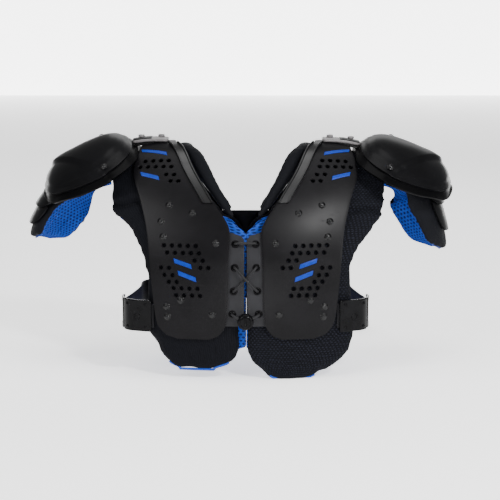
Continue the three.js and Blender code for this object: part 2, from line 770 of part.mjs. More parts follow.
const laceCross = () =>
  join(laceRun(1, 2, LACE_DIAMETER * 0.4), laceRun(2, 1, -LACE_DIAMETER * 0.4));

function laceEnd({ hand }) {
  const row = EYELET_ROWS.length - 1;
  const { share, across } = EYELET_ROWS[row];
  const lock = onForm(0, LOCK_SHARE, LACE_TOP);
  const eye = onForm(hand * across * HALF_WIDTH, share, LACE_TOP);
  const away = eye.clone().sub(lock).normalize();
  const meets = lock.clone().addScaledVector(away, LOCK_DIAMETER / 2 + CLEARANCE);
  const points = [
    overEyelet(hand, row, CLEARANCE),
    overEyelet(hand, row, LACE_TOP - LACE_DIAMETER * 0.5),
    meets.clone().addScaledVector(away, LACE_DIAMETER * 0.4),
    meets,
  ];
  return tube(points, LACE_DIAMETER, 6, 7);
}

function cordLock() {
  const [rim, height] = [LOCK_DIAMETER / 2, LOCK_HEIGHT];
  const outline = [
    [0, 0],
    [rim * 0.9, 0],
    [rim, height * 0.15],
    [rim, height * 0.75],
    [rim * 0.8, height],
    [0, height],
  ];
  const { width, length, depth } = LOCK_SLOT;
  const slot = new THREE.BoxGeometry(width, 2 * depth, length).translate(0, height, 0);
  const body = cut(closed(turned(outline, 14)), [closed(slot)]);
  return seated(body, onForm(0, LOCK_SHARE, FLAP_OUT + CLEARANCE), formNormal(0, LOCK_SHARE));
}

const PANEL_ENDS = { top: -0.44, bottom: -0.82 };

const backPanel = () =>
  sheet(evenly(6, -1, 1), evenly(6, PANEL_ENDS.top, PANEL_ENDS.bottom), (u, share, face) =>
    onForm(u * PANEL_HALF_WIDTH, share, LAYER_GAP + face * FLAP_WALL),
  );

// Side belt

const BELT_MIDDLE = BELT_HEIGHT - HEM_DEPTH;

// The share at which a face reaches a height.
function shareAtHeight(face, height) {
  let run = faceLength(face);
  while (profile(face, run).up < height) run -= 0.5;
  return (-face.away * run) / faceLength(face);
}

// The belt's line seen from above, from the chest side of the arch's arm edge to the back side.
function beltLine({ hand }) {
  const lift = LAYER_GAP + BELT_WALL / 2;
  const seat = (face, past, under) => {
    const edge = column(ARCH_ROWS, "arm", shareAtHeight(face, BELT_MIDDLE)) * HALF_WIDTH;
    const points = [-0.5, 0, 0.5].map((part) => {
      const share = shareAtHeight(face, BELT_MIDDLE + part * BELT_WIDTH);
      return onForm(hand * (edge + past), share, under + lift).setZ(0);
    });
    return points.reduce((best, point) => (point.y * face.away > best.y * face.away ? point : best));
  };
  const chest = [BELT_WALL, BELT_SEAT].map((past) => seat(FRONT, past, 0));
  const back = [0, -BELT_SEAT].map((past) => seat(BACK, past, ARCH_OUT));
  const between = BELT_PLAN.map(({ out, deep }) => {
    const y = THREE.MathUtils.lerp(chest[1].y, back[0].y, deep);
    const x = THREE.MathUtils.lerp(chest[1].x, back[0].x, deep) + hand * out * BELT_BOW;
    return new THREE.Vector3(x, y, 0);
  });
  return new THREE.CatmullRomCurve3([...chest, ...between, ...back], false, "centripetal");
}

// A band along the belt: span in shares of its line, from one lift over its middle to another.
function band(side, { first, last }, inner, outer, width, steps) {
  const line = beltLine(side);
  return sheet(evenly(2, -0.5, 0.5), evenly(steps, first, last), (u, along, face) => {
    const point = line.getPointAt(along);
    const tangent = line.getTangentAt(along);
    const lift = THREE.MathUtils.lerp(inner, outer, face);
    const away = new THREE.Vector3(tangent.y, -tangent.x, 0).multiplyScalar(side.hand * lift);
    return point.add(away).setZ(BELT_MIDDLE + u * width);
  });
}

const belt = (side) => band(side, { first: 0, last: 1 }, -BELT_WALL / 2, BELT_WALL / 2, BELT_WIDTH, 14);
const ON_BELT = BELT_WALL / 2 + LAYER_GAP;
const beltBracket = (side) =>
  band(side, BRACKET_SPAN, ON_BELT, ON_BELT + BRACKET_WALL, BRACKET_WIDTH, 4);
const strapEnd = (side) =>
  band(side, STRAP_END_SPAN, ON_BELT, ON_BELT + STRAP_END_WALL, STRAP_END_WIDTH, 3);

function beltBuckle(side) {
  const frame = band(side, BUCKLE_SPAN, ON_BELT, ON_BELT + BUCKLE_WALL, BUCKLE_WIDTH, 3);
  const rim = BUCKLE_RIM / beltLine(side).getLength();
  const opening = { first: BUCKLE_SPAN.first + rim, last: BUCKLE_SPAN.last - rim };
  const hole = band(side, opening, 0, 4 * BUCKLE_WALL, BUCKLE_WIDTH - 2 * BUCKLE_RIM, 3);
  return cut(frame, [hole]);
}

// Assembly

const group = new THREE.Group();
const pads = new THREE.Group();
group.add(pads);

function add(name, geometry, material) {
  const mesh = new THREE.Mesh(geometry, material);
  mesh.name = name;
  pads.add(mesh);
}

for (const side of SIDES) {
  const piece = (name, geometry, material) => add(`${name}_${side.name}`, geometry, material);
  piece("arch", arch(side), SHELL);
  piece("body_pad", bodyPad(side), FABRIC);
  piece("liner", liner(side), MESH);
  piece("neck_roll", neckRoll(side), CUSHION);
  piece("neck_rail", neckRail(side), SHELL);
  piece("shoulder_bar", shoulderBar(side), METAL);
  piece("bar_bolt_inner", barBolt(side, 0.2), METAL);
  piece("bar_bolt_outer", barBolt(side, 0.75), METAL);
  piece("cap", cap(side), SHELL);
  piece("cap_rivet_front", capRivet(side, -0.36, -0.9), GLOSS);
  piece("cap_rivet_top", capRivet(side, -0.42, 0.2), GLOSS);
  piece("epaulet", epaulet(side), SHELL);
  piece("arm_pad", armPad(side), FABRIC);
  piece("arm_liner", armLiner(side), MESH);
  for (const cup of CUPS) piece(cup.name, armCup(side, cup), SHELL);
  piece("lace_flap", laceFlap(side), FLAP);
  EYELET_ROWS.forEach((row, i) => piece(`eyelet_${i + 1}`, eyelet(side, row), GLOSS));
  piece("lace_end", laceEnd(side), WEBBING);
  piece("belt", belt(side), WEBBING);
  piece("belt_bracket", beltBracket(side), SHELL);
  piece("belt_buckle", beltBuckle(side), METAL);
  piece("strap_end", strapEnd(side), STRAP_GREY);
}
add("lace_top", laceRun(0, 0, 0), WEBBING);
add("lace_cross", laceCross(), WEBBING);
add("cord_lock", cordLock(), GLOSS);
add("back_panel", backPanel(), SHELL);

// The origin is the middle of the whole pair, on the surface it stands on.
const box = new THREE.Box3().setFromObject(pads);
const middle = box.getCenter(new THREE.Vector3());
pads.position.set(-middle.x, -middle.y, -box.min.z);

export default group;
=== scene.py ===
"""Football shoulder pads: the looks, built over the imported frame."""

import math

import bmesh
import bpy
from mathutils import Matrix, Vector
from mathutils.bvhtree import BVHTree
from mathutils.kdtree import KDTree


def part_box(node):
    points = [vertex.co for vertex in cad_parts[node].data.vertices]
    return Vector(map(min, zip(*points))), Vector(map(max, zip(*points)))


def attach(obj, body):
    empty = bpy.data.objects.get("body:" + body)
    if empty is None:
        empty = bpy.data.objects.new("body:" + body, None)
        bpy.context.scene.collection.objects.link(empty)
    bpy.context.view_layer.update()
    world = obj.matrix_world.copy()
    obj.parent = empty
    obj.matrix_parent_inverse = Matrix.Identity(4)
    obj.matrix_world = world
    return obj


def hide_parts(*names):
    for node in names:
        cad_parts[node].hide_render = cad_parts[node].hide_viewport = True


bl_info = {
    "name": "Football Shoulder Pads",
    "version": (1, 0, 0),
    "blender": (4, 5, 0),
    "location": "3D View > Sidebar > Shoulder Pads",
    "description": "Builds the shells, padding, lacing, belts and stage of football shoulder pads",
    "category": "Add Mesh",
}

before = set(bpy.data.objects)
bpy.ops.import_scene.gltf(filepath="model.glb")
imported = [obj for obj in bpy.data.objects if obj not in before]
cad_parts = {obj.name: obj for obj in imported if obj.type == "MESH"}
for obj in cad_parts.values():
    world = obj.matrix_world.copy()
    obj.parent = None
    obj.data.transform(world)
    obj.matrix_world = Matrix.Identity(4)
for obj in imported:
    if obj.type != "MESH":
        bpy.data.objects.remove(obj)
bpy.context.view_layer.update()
MM = 0.001

# --- The trunk form, in mm: a tight bend over the shoulder, a wide one down chest and back ---

SHOULDER_HEIGHT = 289.5
SHOULDER_RADIUS = 72.0
HALF_WIDTH = 150.0
SIDE_WRAP = 26.0
SHOULDER_DROOP = 20.0
DROOP_START = 100.0
PAD_REACH = 185.25
HEM_DEPTH = 9.0
EDGE_ROOM = 3.0
END_ROOM = 0.009
# What a share of 1 is in mm, for normals and patterns
SHARE_RUN = 360

LAYER_GAP = 0.9
CURVED_GAP = 1.3
CLEARANCE = 0.4
PAD_WALL = 12.0
FLAP_WALL = 2.4
ARCH_WALL = 3.0
FLAP_OUT = LAYER_GAP + FLAP_WALL
ARCH_IN = FLAP_OUT + LAYER_GAP
ARCH_OUT = ARCH_IN + ARCH_WALL


class Face:
    """One face of the trunk form, chest or back, followed down from the shoulder line."""

    def __init__(self, away, crown_turn, radius, end_turn):
        self.away = away
        self.radius = radius
        self.crown = math.radians(crown_turn)
        self.end = math.radians(end_turn)
        bends = SHOULDER_RADIUS * self.crown + radius * (self.end - self.crown)
        fallen = SHOULDER_RADIUS * (1 - math.cos(self.crown))
        fallen += radius * (math.cos(self.crown) - math.cos(self.end))
        self.length = bends + (SHOULDER_HEIGHT - fallen) / math.sin(self.end)

    def profile(self, run):
        on_crown = min(run / SHOULDER_RADIUS, self.crown)
        past = max(run - SHOULDER_RADIUS * self.crown, 0)
        turn = min(on_crown + past / self.radius, self.end)
        straight = max(past - self.radius * (self.end - self.crown), 0)
        out = SHOULDER_RADIUS * math.sin(on_crown)
        out += self.radius * (math.sin(turn) - math.sin(on_crown)) + straight * math.cos(self.end)
        fall = SHOULDER_RADIUS * (1 - math.cos(on_crown))
        fall += self.radius * (math.cos(on_crown) - math.cos(turn)) + straight * math.sin(self.end)
        return out, SHOULDER_HEIGHT - fall, turn


CHEST = Face(-1, 50, 280.0, 95)
BACK = Face(1, 55, 240.0, 98)


def on_form(x, share, lift=0.0):
    """A point of the form: x across, share down the chest (above 0) or the back, lift outwards."""
    face = CHEST if share >= 0 else BACK
    out, up, turn = face.profile(abs(share) * face.length)
    level = min(turn, math.pi / 2)
    wrap = SIDE_WRAP * (abs(x) / HALF_WIDTH) ** 2 * math.sin(level) ** 2
    past = max(abs(x) - DROOP_START, 0) / (PAD_REACH - DROOP_START)
    droop = SHOULDER_DROOP * past**2 * math.cos(level) ** 2
    return Vector(
        (x, face.away * (out - wrap + lift * math.sin(turn)), up - droop + lift * math.cos(turn))
    )


def normal_on(point, first, second, unit=1.0, step=0.6):
    """The unit vector that a surface rises along; unit is what 1 mm is of its second coordinate."""
    a = point(first + step, second, 0) - point(first - step, second, 0)
    b = point(first, second + step * unit, 0) - point(first, second - step * unit, 0)
    normal = a.cross(b).normalized()
    up = point(first, second, 1) - point(first, second, 0)
    return normal if normal.dot(up) > 0 else -normal


def form_normal(x, share):
    return normal_on(on_form, x, share, unit=1 / SHARE_RUN)


# --- Outlines: share, then distances from the middle as shares of HALF_WIDTH ---

ARCH_ROWS = {
    "share": (0.862, 0.848, 0.8, 0.72, 0.58, 0.46, 0.34, 0.21, 0.1, 0, -0.1, -0.22, -0.34, -0.44,
              -0.56, -0.72, -0.81, -0.86),
    "neck": (0.31, 0.24, 0.17, 0.157, 0.15, 0.135, 0.28, 0.44, 0.54, 0.64, 0.62, 0.53, 0.37, 0.22,
             0.13, 0.13, 0.16, 0.3),
    "arm": (0.6, 0.69, 0.775, 0.803, 0.835, 0.862, 0.92, 0.99, 0.95, 0.925, 0.94, 0.98, 0.92, 0.87,
            0.84, 0.81, 0.78, 0.6),
}
PAD_TOP = {
    "share": (0.12, 0, -0.12, -0.25, -0.38, -0.455, -0.52, -0.6, -0.86, -0.95, -1, -1.035),
    "centre": (1, 1, 1, 1, 1, 0.12, 0.02, 0.02, 0.02, 0.02, 0.04, 0.1),
    "arm": (1.235, 1.235, 1.235, 1.2, 1.14, 1.04, 0.96, 0.9, 0.86, 0.8, 0.72, 0.62),
}
PAD_CHEST = {
    "left": {
        "share": (0.986, 0.965, 0.94, 0.9, 0.838, 0.657, 0.54, 0.465, 0.42, 0.38, 0.33, 0.26),
        "centre": (0.26, 0.14, 0.08, 0.067, 0.067, 0.067, 0.067, 0.067, 1, 1, 1, 1),
        "arm": (0.59, 0.68, 0.72, 0.76, 0.853, 0.855, 0.91, 0.99, 1.06, 1.16, 1.195, 1.18),
    },
    "right": {
        "share": (1.04, 1.015, 0.985, 0.96, 0.9, 0.86, 0.6, 0.54, 0.465, 0.42, 0.38, 0.27),
        "centre": (0.3, 0.2, 0.12, 0.07, 0.02, 0.015, 0.015, 0.015, 0.02, 1, 1, 1),
        "arm": (0.5, 0.62, 0.77, 0.84, 0.925, 0.95, 0.92, 0.97, 1.09, 1.16, 1.22, 1.235),
    },
}
PAD_ROWS = {
    side: {key: rows[key] + PAD_TOP[key] for key in ("share", "centre", "arm")}
    for side, rows in PAD_CHEST.items()
}
FOLDS = {"left": 0.335, "right": 0.365}
COVERS = {"left": "ribbed", "right": "dotted"}
FLAP_ROWS = {
    "share": (0.812, 0.8, 0.64, 0.485, 0.468, 0.458),
    "front": (0.03, 0, 0, 0, 0.03, 0.09),
}
EYELET_ROWS = ((0.5, 0.088), (0.589, 0.094), (0.677, 0.102), (0.764, 0.115))
VENT_PITCH = 0.069
VENT_ROWS = ((0.162, 0.885, 4), (0.19, 0.93, 5), (0.225, 0.697, 2), (0.253, 0.658, 2),
             (0.51, 0.706, 5), (0.537, 0.679, 5), (0.564, 0.44, 2), (0.591, 0.39, 2),
             (0.594, 0.732, 2), (0.621, 0.702, 2), (0.646, 0.664, 2), (0.669, 0.622, 4),
             (0.695, 0.6, 4))
PLATE_RIVETS = ((0.667, 0.355), (0.463, 0.385), (0.737, 0.42), (0.717, 0.479), (0.258, 0.499),
                (0.563, 0.714), (0.687, 0.74), (0.68, 0.778), (0.29, 0.765),
                (0.3, -0.5), (0.7, -0.5), (0.68, -0.77), (0.3, -0.77))
# Straight accent bars: where each starts and ends, as shares across and down
ACCENT_BARS = (((0.925, 0.1), (0.7, 0.13)), ((0.925, 0.222), (0.765, 0.243)),
               ((0.62, 0.567), (0.47, 0.588)), ((0.585, 0.612), (0.43, 0.636)))

SIDES = (
    {"name": "left", "hand": -1, "cap_past": 64.0, "cap_up": 271.0, "cap_tilt": 24.0},
    {"name": "right", "hand": 1, "cap_past": 68.0, "cap_up": 272.0, "cap_tilt": 20.0},
)

CAP_HALF_LENGTH = 66.5
CAP_HALF_WIDTH = 78.0
CAP_CROWN = 22.0
CAP_SAG = 22.0
CAP_WALL = 3.6
EPAULET_WALL = 3.0
EPAULET_MARGIN = 5.0

ARM_REACH = 108.0
ARM_DROP = 110.0
ARM_RADIUS = 50.0
ARM_PAD_WALL = 8.0
ARM_SETBACK = 4.0
CUP_WALL = 2.4
ARM_ROWS = {
    "left": {
        "out": (0, 0.35, 0.62, 0.81, 0.94, 1, 1.03),
        "drop": (0, 0.05, 0.26, 0.47, 0.68, 0.83, 0.92),
        "turn": (0, 20, 45, 62, 66, 68, 70),
        "round": (1.3, 1.22, 1.1, 1, 0.9, 0.8, 0.74),
        "fore": (46, 52, 58, 52, 54, 58, 30),
        "aft": (60, 70, 88, 106, 112, 108, 70),
    },
    "right": {
        "out": (0, 0.33, 0.55, 0.68, 0.78, 0.83, 0.85),
        "drop": (0, 0.05, 0.24, 0.42, 0.72, 0.95, 1.07),
        "turn": (0, 22, 48, 70, 76, 79, 81),
        "round": (1.3, 1.22, 1.1, 1, 0.9, 0.8, 0.72),
        "fore": (46, 58, 74, 84, 80, 74, 40),
        "aft": (60, 70, 88, 108, 110, 100, 56),
    },
}
# Each cup spans rows of ARM_ROWS and degrees to the front and the back of the arm
CUPS = (
    {"name": "arm_cup_lower", "first": 3, "last": 4.5, "fore": 44, "aft": 80, "layer": 0},
    {"name": "arm_cup_upper", "first": 2.2, "last": 3.35, "fore": 48, "aft": 74, "layer": 1},
)

BELT_WIDTH = 32.0
BELT_WALL = 2.2
BELT_HEIGHT = 84.0
BELT_REACH = 160.0
BELT_SEAT = 14.0
BELT_PLAN = ((0.95, 0.05), (1, 0.17), (0.96, 0.36), (0.91, 0.62), (0.885, 0.9))


def smooth_at(shares, values, share):
    """A table's value at a share: a curve through its rows that never swings past them."""
    last = len(shares) - 1
    if share >= shares[0]:
        return values[0]
    if share <= shares[last]:
        return values[last]
    i = next(n for n in range(last) if shares[n + 1] <= share)

    def slope(n):
        if n in (0, last):
            return 0.0
        before = (values[n] - values[n - 1]) / (shares[n] - shares[n - 1])
        after = (values[n + 1] - values[n]) / (shares[n + 1] - shares[n])
        return 0.0 if before * after <= 0 else 2 * before * after / (before + after)

    width = shares[i + 1] - shares[i]
    t = (share - shares[i]) / width
    a, b = values[i], values[i + 1]
    return (
        (1 + 2 * t) * (1 - t) ** 2 * a
        + t * (1 - t) ** 2 * width * slope(i)
        + t * t * (3 - 2 * t) * b
        - t * t * (1 - t) * width * slope(i + 1)
    )


def neck_edge(share):
    return smooth_at(ARCH_ROWS["share"], ARCH_ROWS["neck"], share) * HALF_WIDTH


def arch_arm(share):
    return smooth_at(ARCH_ROWS["share"], ARCH_ROWS["arm"], share) * HALF_WIDTH


def pad_edges(side, share):
    rows = PAD_ROWS[side["name"]]
    centre = smooth_at(rows["share"], rows["centre"], share) * HALF_WIDTH
    arm = smooth_at(rows["share"], rows["arm"], share) * HALF_WIDTH
    return min(neck_edge(share) + 0.8, centre), arm


def mix(a, b, t):
    return a + (b - a) * t


def eased(t):
    """0 to 1 in rows that lie closer at both ends."""
    return 0.5 - 0.5 * math.cos(math.pi * t)


def smoothstep(value, low, high):
    t = min(max((value - low) / (high - low), 0), 1)
    return t * t * (3 - 2 * t)


# The frame's middle is the middle of the whole pair, so the form is moved onto it.
_arch = [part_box("arch_left"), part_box("arch_right")]
_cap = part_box("cap_right")
SHIFT = Vector(
    (
        (_arch[0][0][0] + _arch[1][1][0]) / 2,
        (_cap[0][1] + _cap[1][1]) / 2,
        HEM_DEPTH * MM,
    )
)


def to_frame(point):
    return point * MM + SHIFT


# --- Cap, arm flap and belt forms ---


def on_dome(side, along, deep, lift):
    """A point of a cap's dome: along towards the arm, deep towards the back, lift outwards."""
    a, b = along / CAP_HALF_LENGTH, deep / CAP_HALF_WIDTH
    step = 4.6 * smoothstep(a + 1.15 * math.hypot(b, 0.1), 0.78, 0.86)
    step *= 1 - 0.7 * smoothstep(abs(b), 0.8, 1)
    fall = min(abs(a), 1) ** 4 + max(abs(a) - 1, 0)
    rise = CAP_CROWN * (1 - fall - b**2) - CAP_SAG * b**2 - step + lift
    slope = math.radians(side["cap_tilt"])
    middle = HALF_WIDTH + side["cap_past"]
    return Vector(
        (
            side["hand"] * (middle + along * math.cos(slope) + rise * math.sin(slope)),
            deep,
            side["cap_up"] - along * math.sin(slope) + rise * math.cos(slope),
        )
    )


def arm_value(side, key, row):
    rows = ARM_ROWS[side["name"]][key]
    last = len(rows) - 1
    i = min(int(row), last - 1)
    f = row - i
    p0, p1, p2, p3 = (rows[min(max(n, 0), last)] for n in (i - 1, i, i + 1, i + 2))
    bend = 2 * p0 - 5 * p1 + 4 * p2 - p3 + f * (3 * (p1 - p2) + p3 - p0)
    return p1 + 0.5 * f * (p2 - p0 + f * bend)


def on_arm(side, row, angle, lift):
    """A point of the arm flap: row of its table, angle towards the back, lift outwards."""
    start = on_form(PAD_REACH + CLEARANCE, 0)
    turn = math.radians(arm_value(side, "turn", row))
    radius = arm_value(side, "round", row) * ARM_RADIUS
    outwards = (radius + lift) * math.cos(math.radians(angle)) - radius
    out = start.x + arm_value(side, "out", row) * ARM_REACH + outwards * math.sin(turn)
    return Vector(
        (
            side["hand"] * out,
            -ARM_SETBACK + (radius + lift) * math.sin(math.radians(angle)),
            start.z - arm_value(side, "drop", row) * ARM_DROP + outwards * math.cos(turn),
        )
    )


class Line:
    """A smooth curve through points, read by its share of length."""

    def __init__(self, points, steps=24):
        ends = [points[0] * 2 - points[1], *points, points[-1] * 2 - points[-2]]
        self.points = [points[0].copy()]
        for i in range(1, len(ends) - 2):
            p0, p1, p2, p3 = ends[i - 1 : i + 3]
            spans = ((p0, p1), (p1, p2), (p2, p3))
            d0, d1, d2 = (max((b - a).length ** 0.5, 1e-4) for a, b in spans)
            m1 = ((p1 - p0) / d0 - (p2 - p0) / (d0 + d1) + (p2 - p1) / d1) * d1
            m2 = ((p2 - p1) / d1 - (p3 - p1) / (d1 + d2) + (p3 - p2) / d2) * d1
            for n in range(1, steps + 1):
                t = n / steps
                self.points.append(
                    p1 * (2 * t**3 - 3 * t**2 + 1) + m1 * (t**3 - 2 * t**2 + t)
                    + p2 * (3 * t**2 - 2 * t**3) + m2 * (t**3 - t**2)
                )
        self.runs = [0.0]
        for a, b in zip(self.points, self.points[1:]):
            self.runs.append(self.runs[-1] + (b - a).length)
        self.length = self.runs[-1]

    def at(self, share):
        run = min(max(share, 0), 1) * self.length
        low, high = 0, len(self.runs) - 2
        while low < high:
            mid = (low + high + 1) // 2
            low, high = (mid, high) if self.runs[mid] <= run else (low, mid - 1)
        a, b = self.points[low], self.points[low + 1]
        t = (run - self.runs[low]) / max(self.runs[low + 1] - self.runs[low], 1e-9)
        return a.lerp(b, t), (b - a).normalized()


def belt_line(side):
    """The belt seen from above, from the chest side of the arch's arm edge to the back side."""
    middle = BELT_HEIGHT - HEM_DEPTH
    lift = LAYER_GAP + BELT_WALL / 2

    def share_at(face, height):
        run = face.length
        while face.profile(run)[1] < height:
            run -= 0.5
        return -face.away * run / face.length

    def seat(face, past, under):
        edge = arch_arm(share_at(face, middle))
        points = []
        for part in (-0.5, 0, 0.5):
            share = share_at(face, middle + part * BELT_WIDTH)
            point = on_form(side["hand"] * (edge + past), share, under + lift)
            points.append(Vector((point.x, point.y, 0)))
        return max(points, key=lambda point: point.y * face.away)

    chest = [seat(CHEST, past, 0) for past in (BELT_WALL, BELT_SEAT)]
    back = [seat(BACK, past, ARCH_OUT) for past in (0, -BELT_SEAT)]
    between = [
        Vector((side["hand"] * out * BELT_REACH, mix(chest[1].y, back[0].y, deep), 0))
        for out, deep in BELT_PLAN
    ]
    return Line([*chest, *between, *back])


# --- Meshes ---


def run_length(points):
    return sum((b - a).length for a, b in zip(points, points[1:])) * MM


def grid(columns, rows, place, lift=0.0):
    """A sheet whose faces point the way lift rises; place takes u, v and lift and gives mm."""
    bm = bmesh.new()
    weave = bm.loops.layers.uv.new("weave")
    bmesh.ops.create_grid(bm, x_segments=columns, y_segments=rows, size=0.5)
    at = {v: (v.co.x + 0.5, v.co.y + 0.5) for v in bm.verts}
    across = run_length([place(n / 8, 0.5, lift) for n in range(9)])
    along = run_length([place(0.5, n / 16, lift) for n in range(17)])
    for v, (u, run) in at.items():
        v.co = to_frame(place(u, run, lift))
    for f in bm.faces:
        for loop in f.loops:
            u, run = at[loop.vert]
            loop[weave].uv = (u * across, run * along)
    bm.normal_update()
    away = place(0.5, 0.5, lift + 1) - place(0.5, 0.5, lift)
    centre = to_frame(place(0.5, 0.5, lift))
    middle = min(bm.faces, key=lambda f: (f.calc_center_median() - centre).length)
    if middle.normal.dot(away) < 0:
        bmesh.ops.reverse_faces(bm, faces=bm.faces)
    return bm


def around(section, steps, place):
    """A closed body around a section of mm points; place gives mm from a section point and v."""
    bm = bmesh.new()
    weave = bm.loops.layers.uv.new("weave")
    sides = len(section)
    bmesh.ops.create_grid(bm, x_segments=sides, y_segments=steps, size=0.5)
    girth = sum((Vector(section[n]) - Vector(section[n - 1])).length for n in range(sides)) * MM
    length = run_length([place(*section[0], n / 12) for n in range(13)])
    at = {v: (round((v.co.x + 0.5) * sides), v.co.y + 0.5) for v in bm.verts}
    for f in bm.faces:
        for loop in f.loops:
            i, run = at[loop.vert]
            loop[weave].uv = (girth * i / sides, run * length)
    for v, (i, run) in at.items():
        v.co = to_frame(place(*section[i % sides], run))
    bmesh.ops.remove_doubles(bm, verts=bm.verts, dist=1e-6)
    bmesh.ops.holes_fill(bm, edges=[e for e in bm.edges if e.is_boundary])
    bmesh.ops.recalc_face_normals(bm, faces=bm.faces)
    return bm


def swept(line, section, steps):
    """A closed body of one section along a line."""
    frames = []
    normal = None
    for n in range(steps + 1):
        point, tangent = line.at(n / steps)
        normal = tangent.orthogonal() if normal is None else normal
        normal = (normal - tangent * normal.dot(tangent)).normalized()
        frames.append((point, normal, tangent.cross(normal)))

    def place(a, b, v):
        point, up, side = frames[round(v * steps)]
        return point + side * a + up * b

    return around(section, steps, place)


def ring_section(diameter, sides):
    turns = [2 * math.pi * i / sides for i in range(sides)]
    return [(diameter / 2 * math.cos(turn), diameter / 2 * math.sin(turn)) for turn in turns]


def turned(outline, point, normal, sides=28):
    """A turned piece from its half outline in mm, stood on a point of the form along a normal."""
    bm = bmesh.new()
    verts = [bm.verts.new((r, 0, h)) for r, h in outline]
    edges = [bm.edges.new(pair) for pair in zip(verts, verts[1:])]
    bmesh.ops.spin(bm, geom=verts + edges, cent=(0, 0, 0), axis=(0, 0, 1), angle=2 * math.pi,
                   steps=sides, use_merge=True)
    bmesh.ops.remove_doubles(bm, verts=bm.verts, dist=1e-3)
    turn = Vector((0, 0, 1)).rotation_difference(normal).to_matrix()
    for v in bm.verts:
        v.co = to_frame(turn @ v.co + point)
    bmesh.ops.recalc_face_normals(bm, faces=bm.faces)
    return bm


def joined(parts):
    """Several bmeshes as one."""
    whole = bmesh.new()
    whole.loops.layers.uv.new("weave")
    for part in parts:
        mesh = bpy.data.meshes.new("part")
        part.to_mesh(mesh)
        part.free()
        whole.from_mesh(mesh)
        bpy.data.meshes.remove(mesh)
    return whole


def stood(name, bm):
    mesh = bpy.data.meshes.new(name)
    bm.to_mesh(mesh)
    bm.free()
    obj = bpy.data.objects.new(name, mesh)
    bpy.context.scene.collection.objects.link(obj)
    return obj


def apply_modifiers(obj):
    graph = bpy.context.evaluated_depsgraph_get()
    mesh = bpy.data.meshes.new_from_object(obj.evaluated_get(graph), depsgraph=graph)
    old = obj.data
    obj.modifiers.clear()
    obj.data = mesh
    bpy.data.meshes.remove(old)


def round_edges(obj, name, width, segments=3):
    bevel = obj.modifiers.new(name, "BEVEL")
    bevel.width = width * MM
    bevel.segments = segments
    bevel.limit_method = "ANGLE"
    bevel.angle_limit = math.radians(50)


def add_wall(obj, thickness, rounding, segments=3):
    """Gives a sheet its thickness inwards from its face, and rounds its rim."""
    wall = obj.modifiers.new("wall", "SOLIDIFY")
    wall.thickness = thickness * MM
    wall.offset = -1
    wall.use_even_offset = True
    if rounding:
        round_edges(obj, "rim", rounding, segments)


def cut_away(obj, tool):
    """Takes a tool's shape, a bmesh, out of a piece."""
    cutter = stood("cutter", tool)
    hole = obj.modifiers.new("hole", "BOOLEAN")
    hole.object = cutter
    hole.operation = "DIFFERENCE"
    hole.solver = "EXACT"
    apply_modifiers(obj)
    bpy.data.objects.remove(cutter)


def finished(obj, material, slot, *nodes, sharp=35):
    """Applies what is still live, gives the piece its material and ties it to the frame."""
    if obj.modifiers:
        apply_modifiers(obj)
    obj.data.shade_smooth()
    obj.data.set_sharp_from_angle(angle=math.radians(sharp))
    obj.data.materials.clear()
    obj.data.materials.append(material)
    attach(obj, "root")
    if nodes:
        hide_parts(*nodes)
    return obj


SWELL_FRAMES = 20


def swell(obj, room, seam=None, cap=4.0, voxel=5.0, softness=2):
    """Stuffs a stiff pad: remeshed, blown up as cloth, then each point's way out is capped."""
    remesh = obj.modifiers.new("remesh", "REMESH")
    remesh.mode = "VOXEL"
    remesh.voxel_size = voxel * MM
    even = obj.modifiers.new("even", "SMOOTH")
    even.factor = 0.5
    even.iterations = 5
    apply_modifiers(obj)
    rest = [v.co.copy() for v in obj.data.vertices]
    normals = [v.normal.copy() for v in obj.data.vertices]
    pins = obj.vertex_groups.new(name="seam")
    for i, co in enumerate(rest):
        held = seam(co) if seam else 0.0
        if held > 0:
            pins.add([i], held, "REPLACE")
    cloth = obj.modifiers.new("cloth", "CLOTH")
    cloth.settings.quality = 4
    cloth.settings.mass = 0.15
    cloth.settings.vertex_group_mass = "seam"
    cloth.settings.use_pressure = True
    cloth.settings.uniform_pressure_force = 4.0
    cloth.settings.effector_weights.gravity = 0
    cloth.point_cache.frame_start = 1
    cloth.point_cache.frame_end = SWELL_FRAMES
    for number in range(1, SWELL_FRAMES + 1):
        bpy.context.scene.frame_set(number)
    graph = bpy.context.evaluated_depsgraph_get()
    moved = [v.co.copy() for v in obj.evaluated_get(graph).data.vertices]
    obj.modifiers.clear()
    obj.vertex_groups.clear()
    bpy.context.scene.frame_set(1)
    for v, start, end, normal in zip(obj.data.vertices, rest, moved, normals):
        near = room.find_nearest(start)[3]
        limit = min(cap * MM, max((near or 1) - 0.5 * MM, 0))
        v.co = start + normal * min(max((end - start).dot(normal), 0), limit)
    soft = obj.modifiers.new("soft", "SMOOTH")
    soft.factor = 0.5
    soft.iterations = softness
    finer = obj.modifiers.new("finer", "SUBSURF")
    finer.levels = finer.render_levels = 1
    apply_modifiers(obj)


def neighbours(*own):
    """The CAD solids around a soft piece, as one tree of faces to stay clear of."""
    verts, faces = [], []
    for name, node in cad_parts.items():
        if name in own:
            continue
        start = len(verts)
        verts += [v.co.copy() for v in node.data.vertices]
        faces += [[start + i for i in p.vertices] for p in node.data.polygons]
    return BVHTree.FromPolygons(verts, faces)


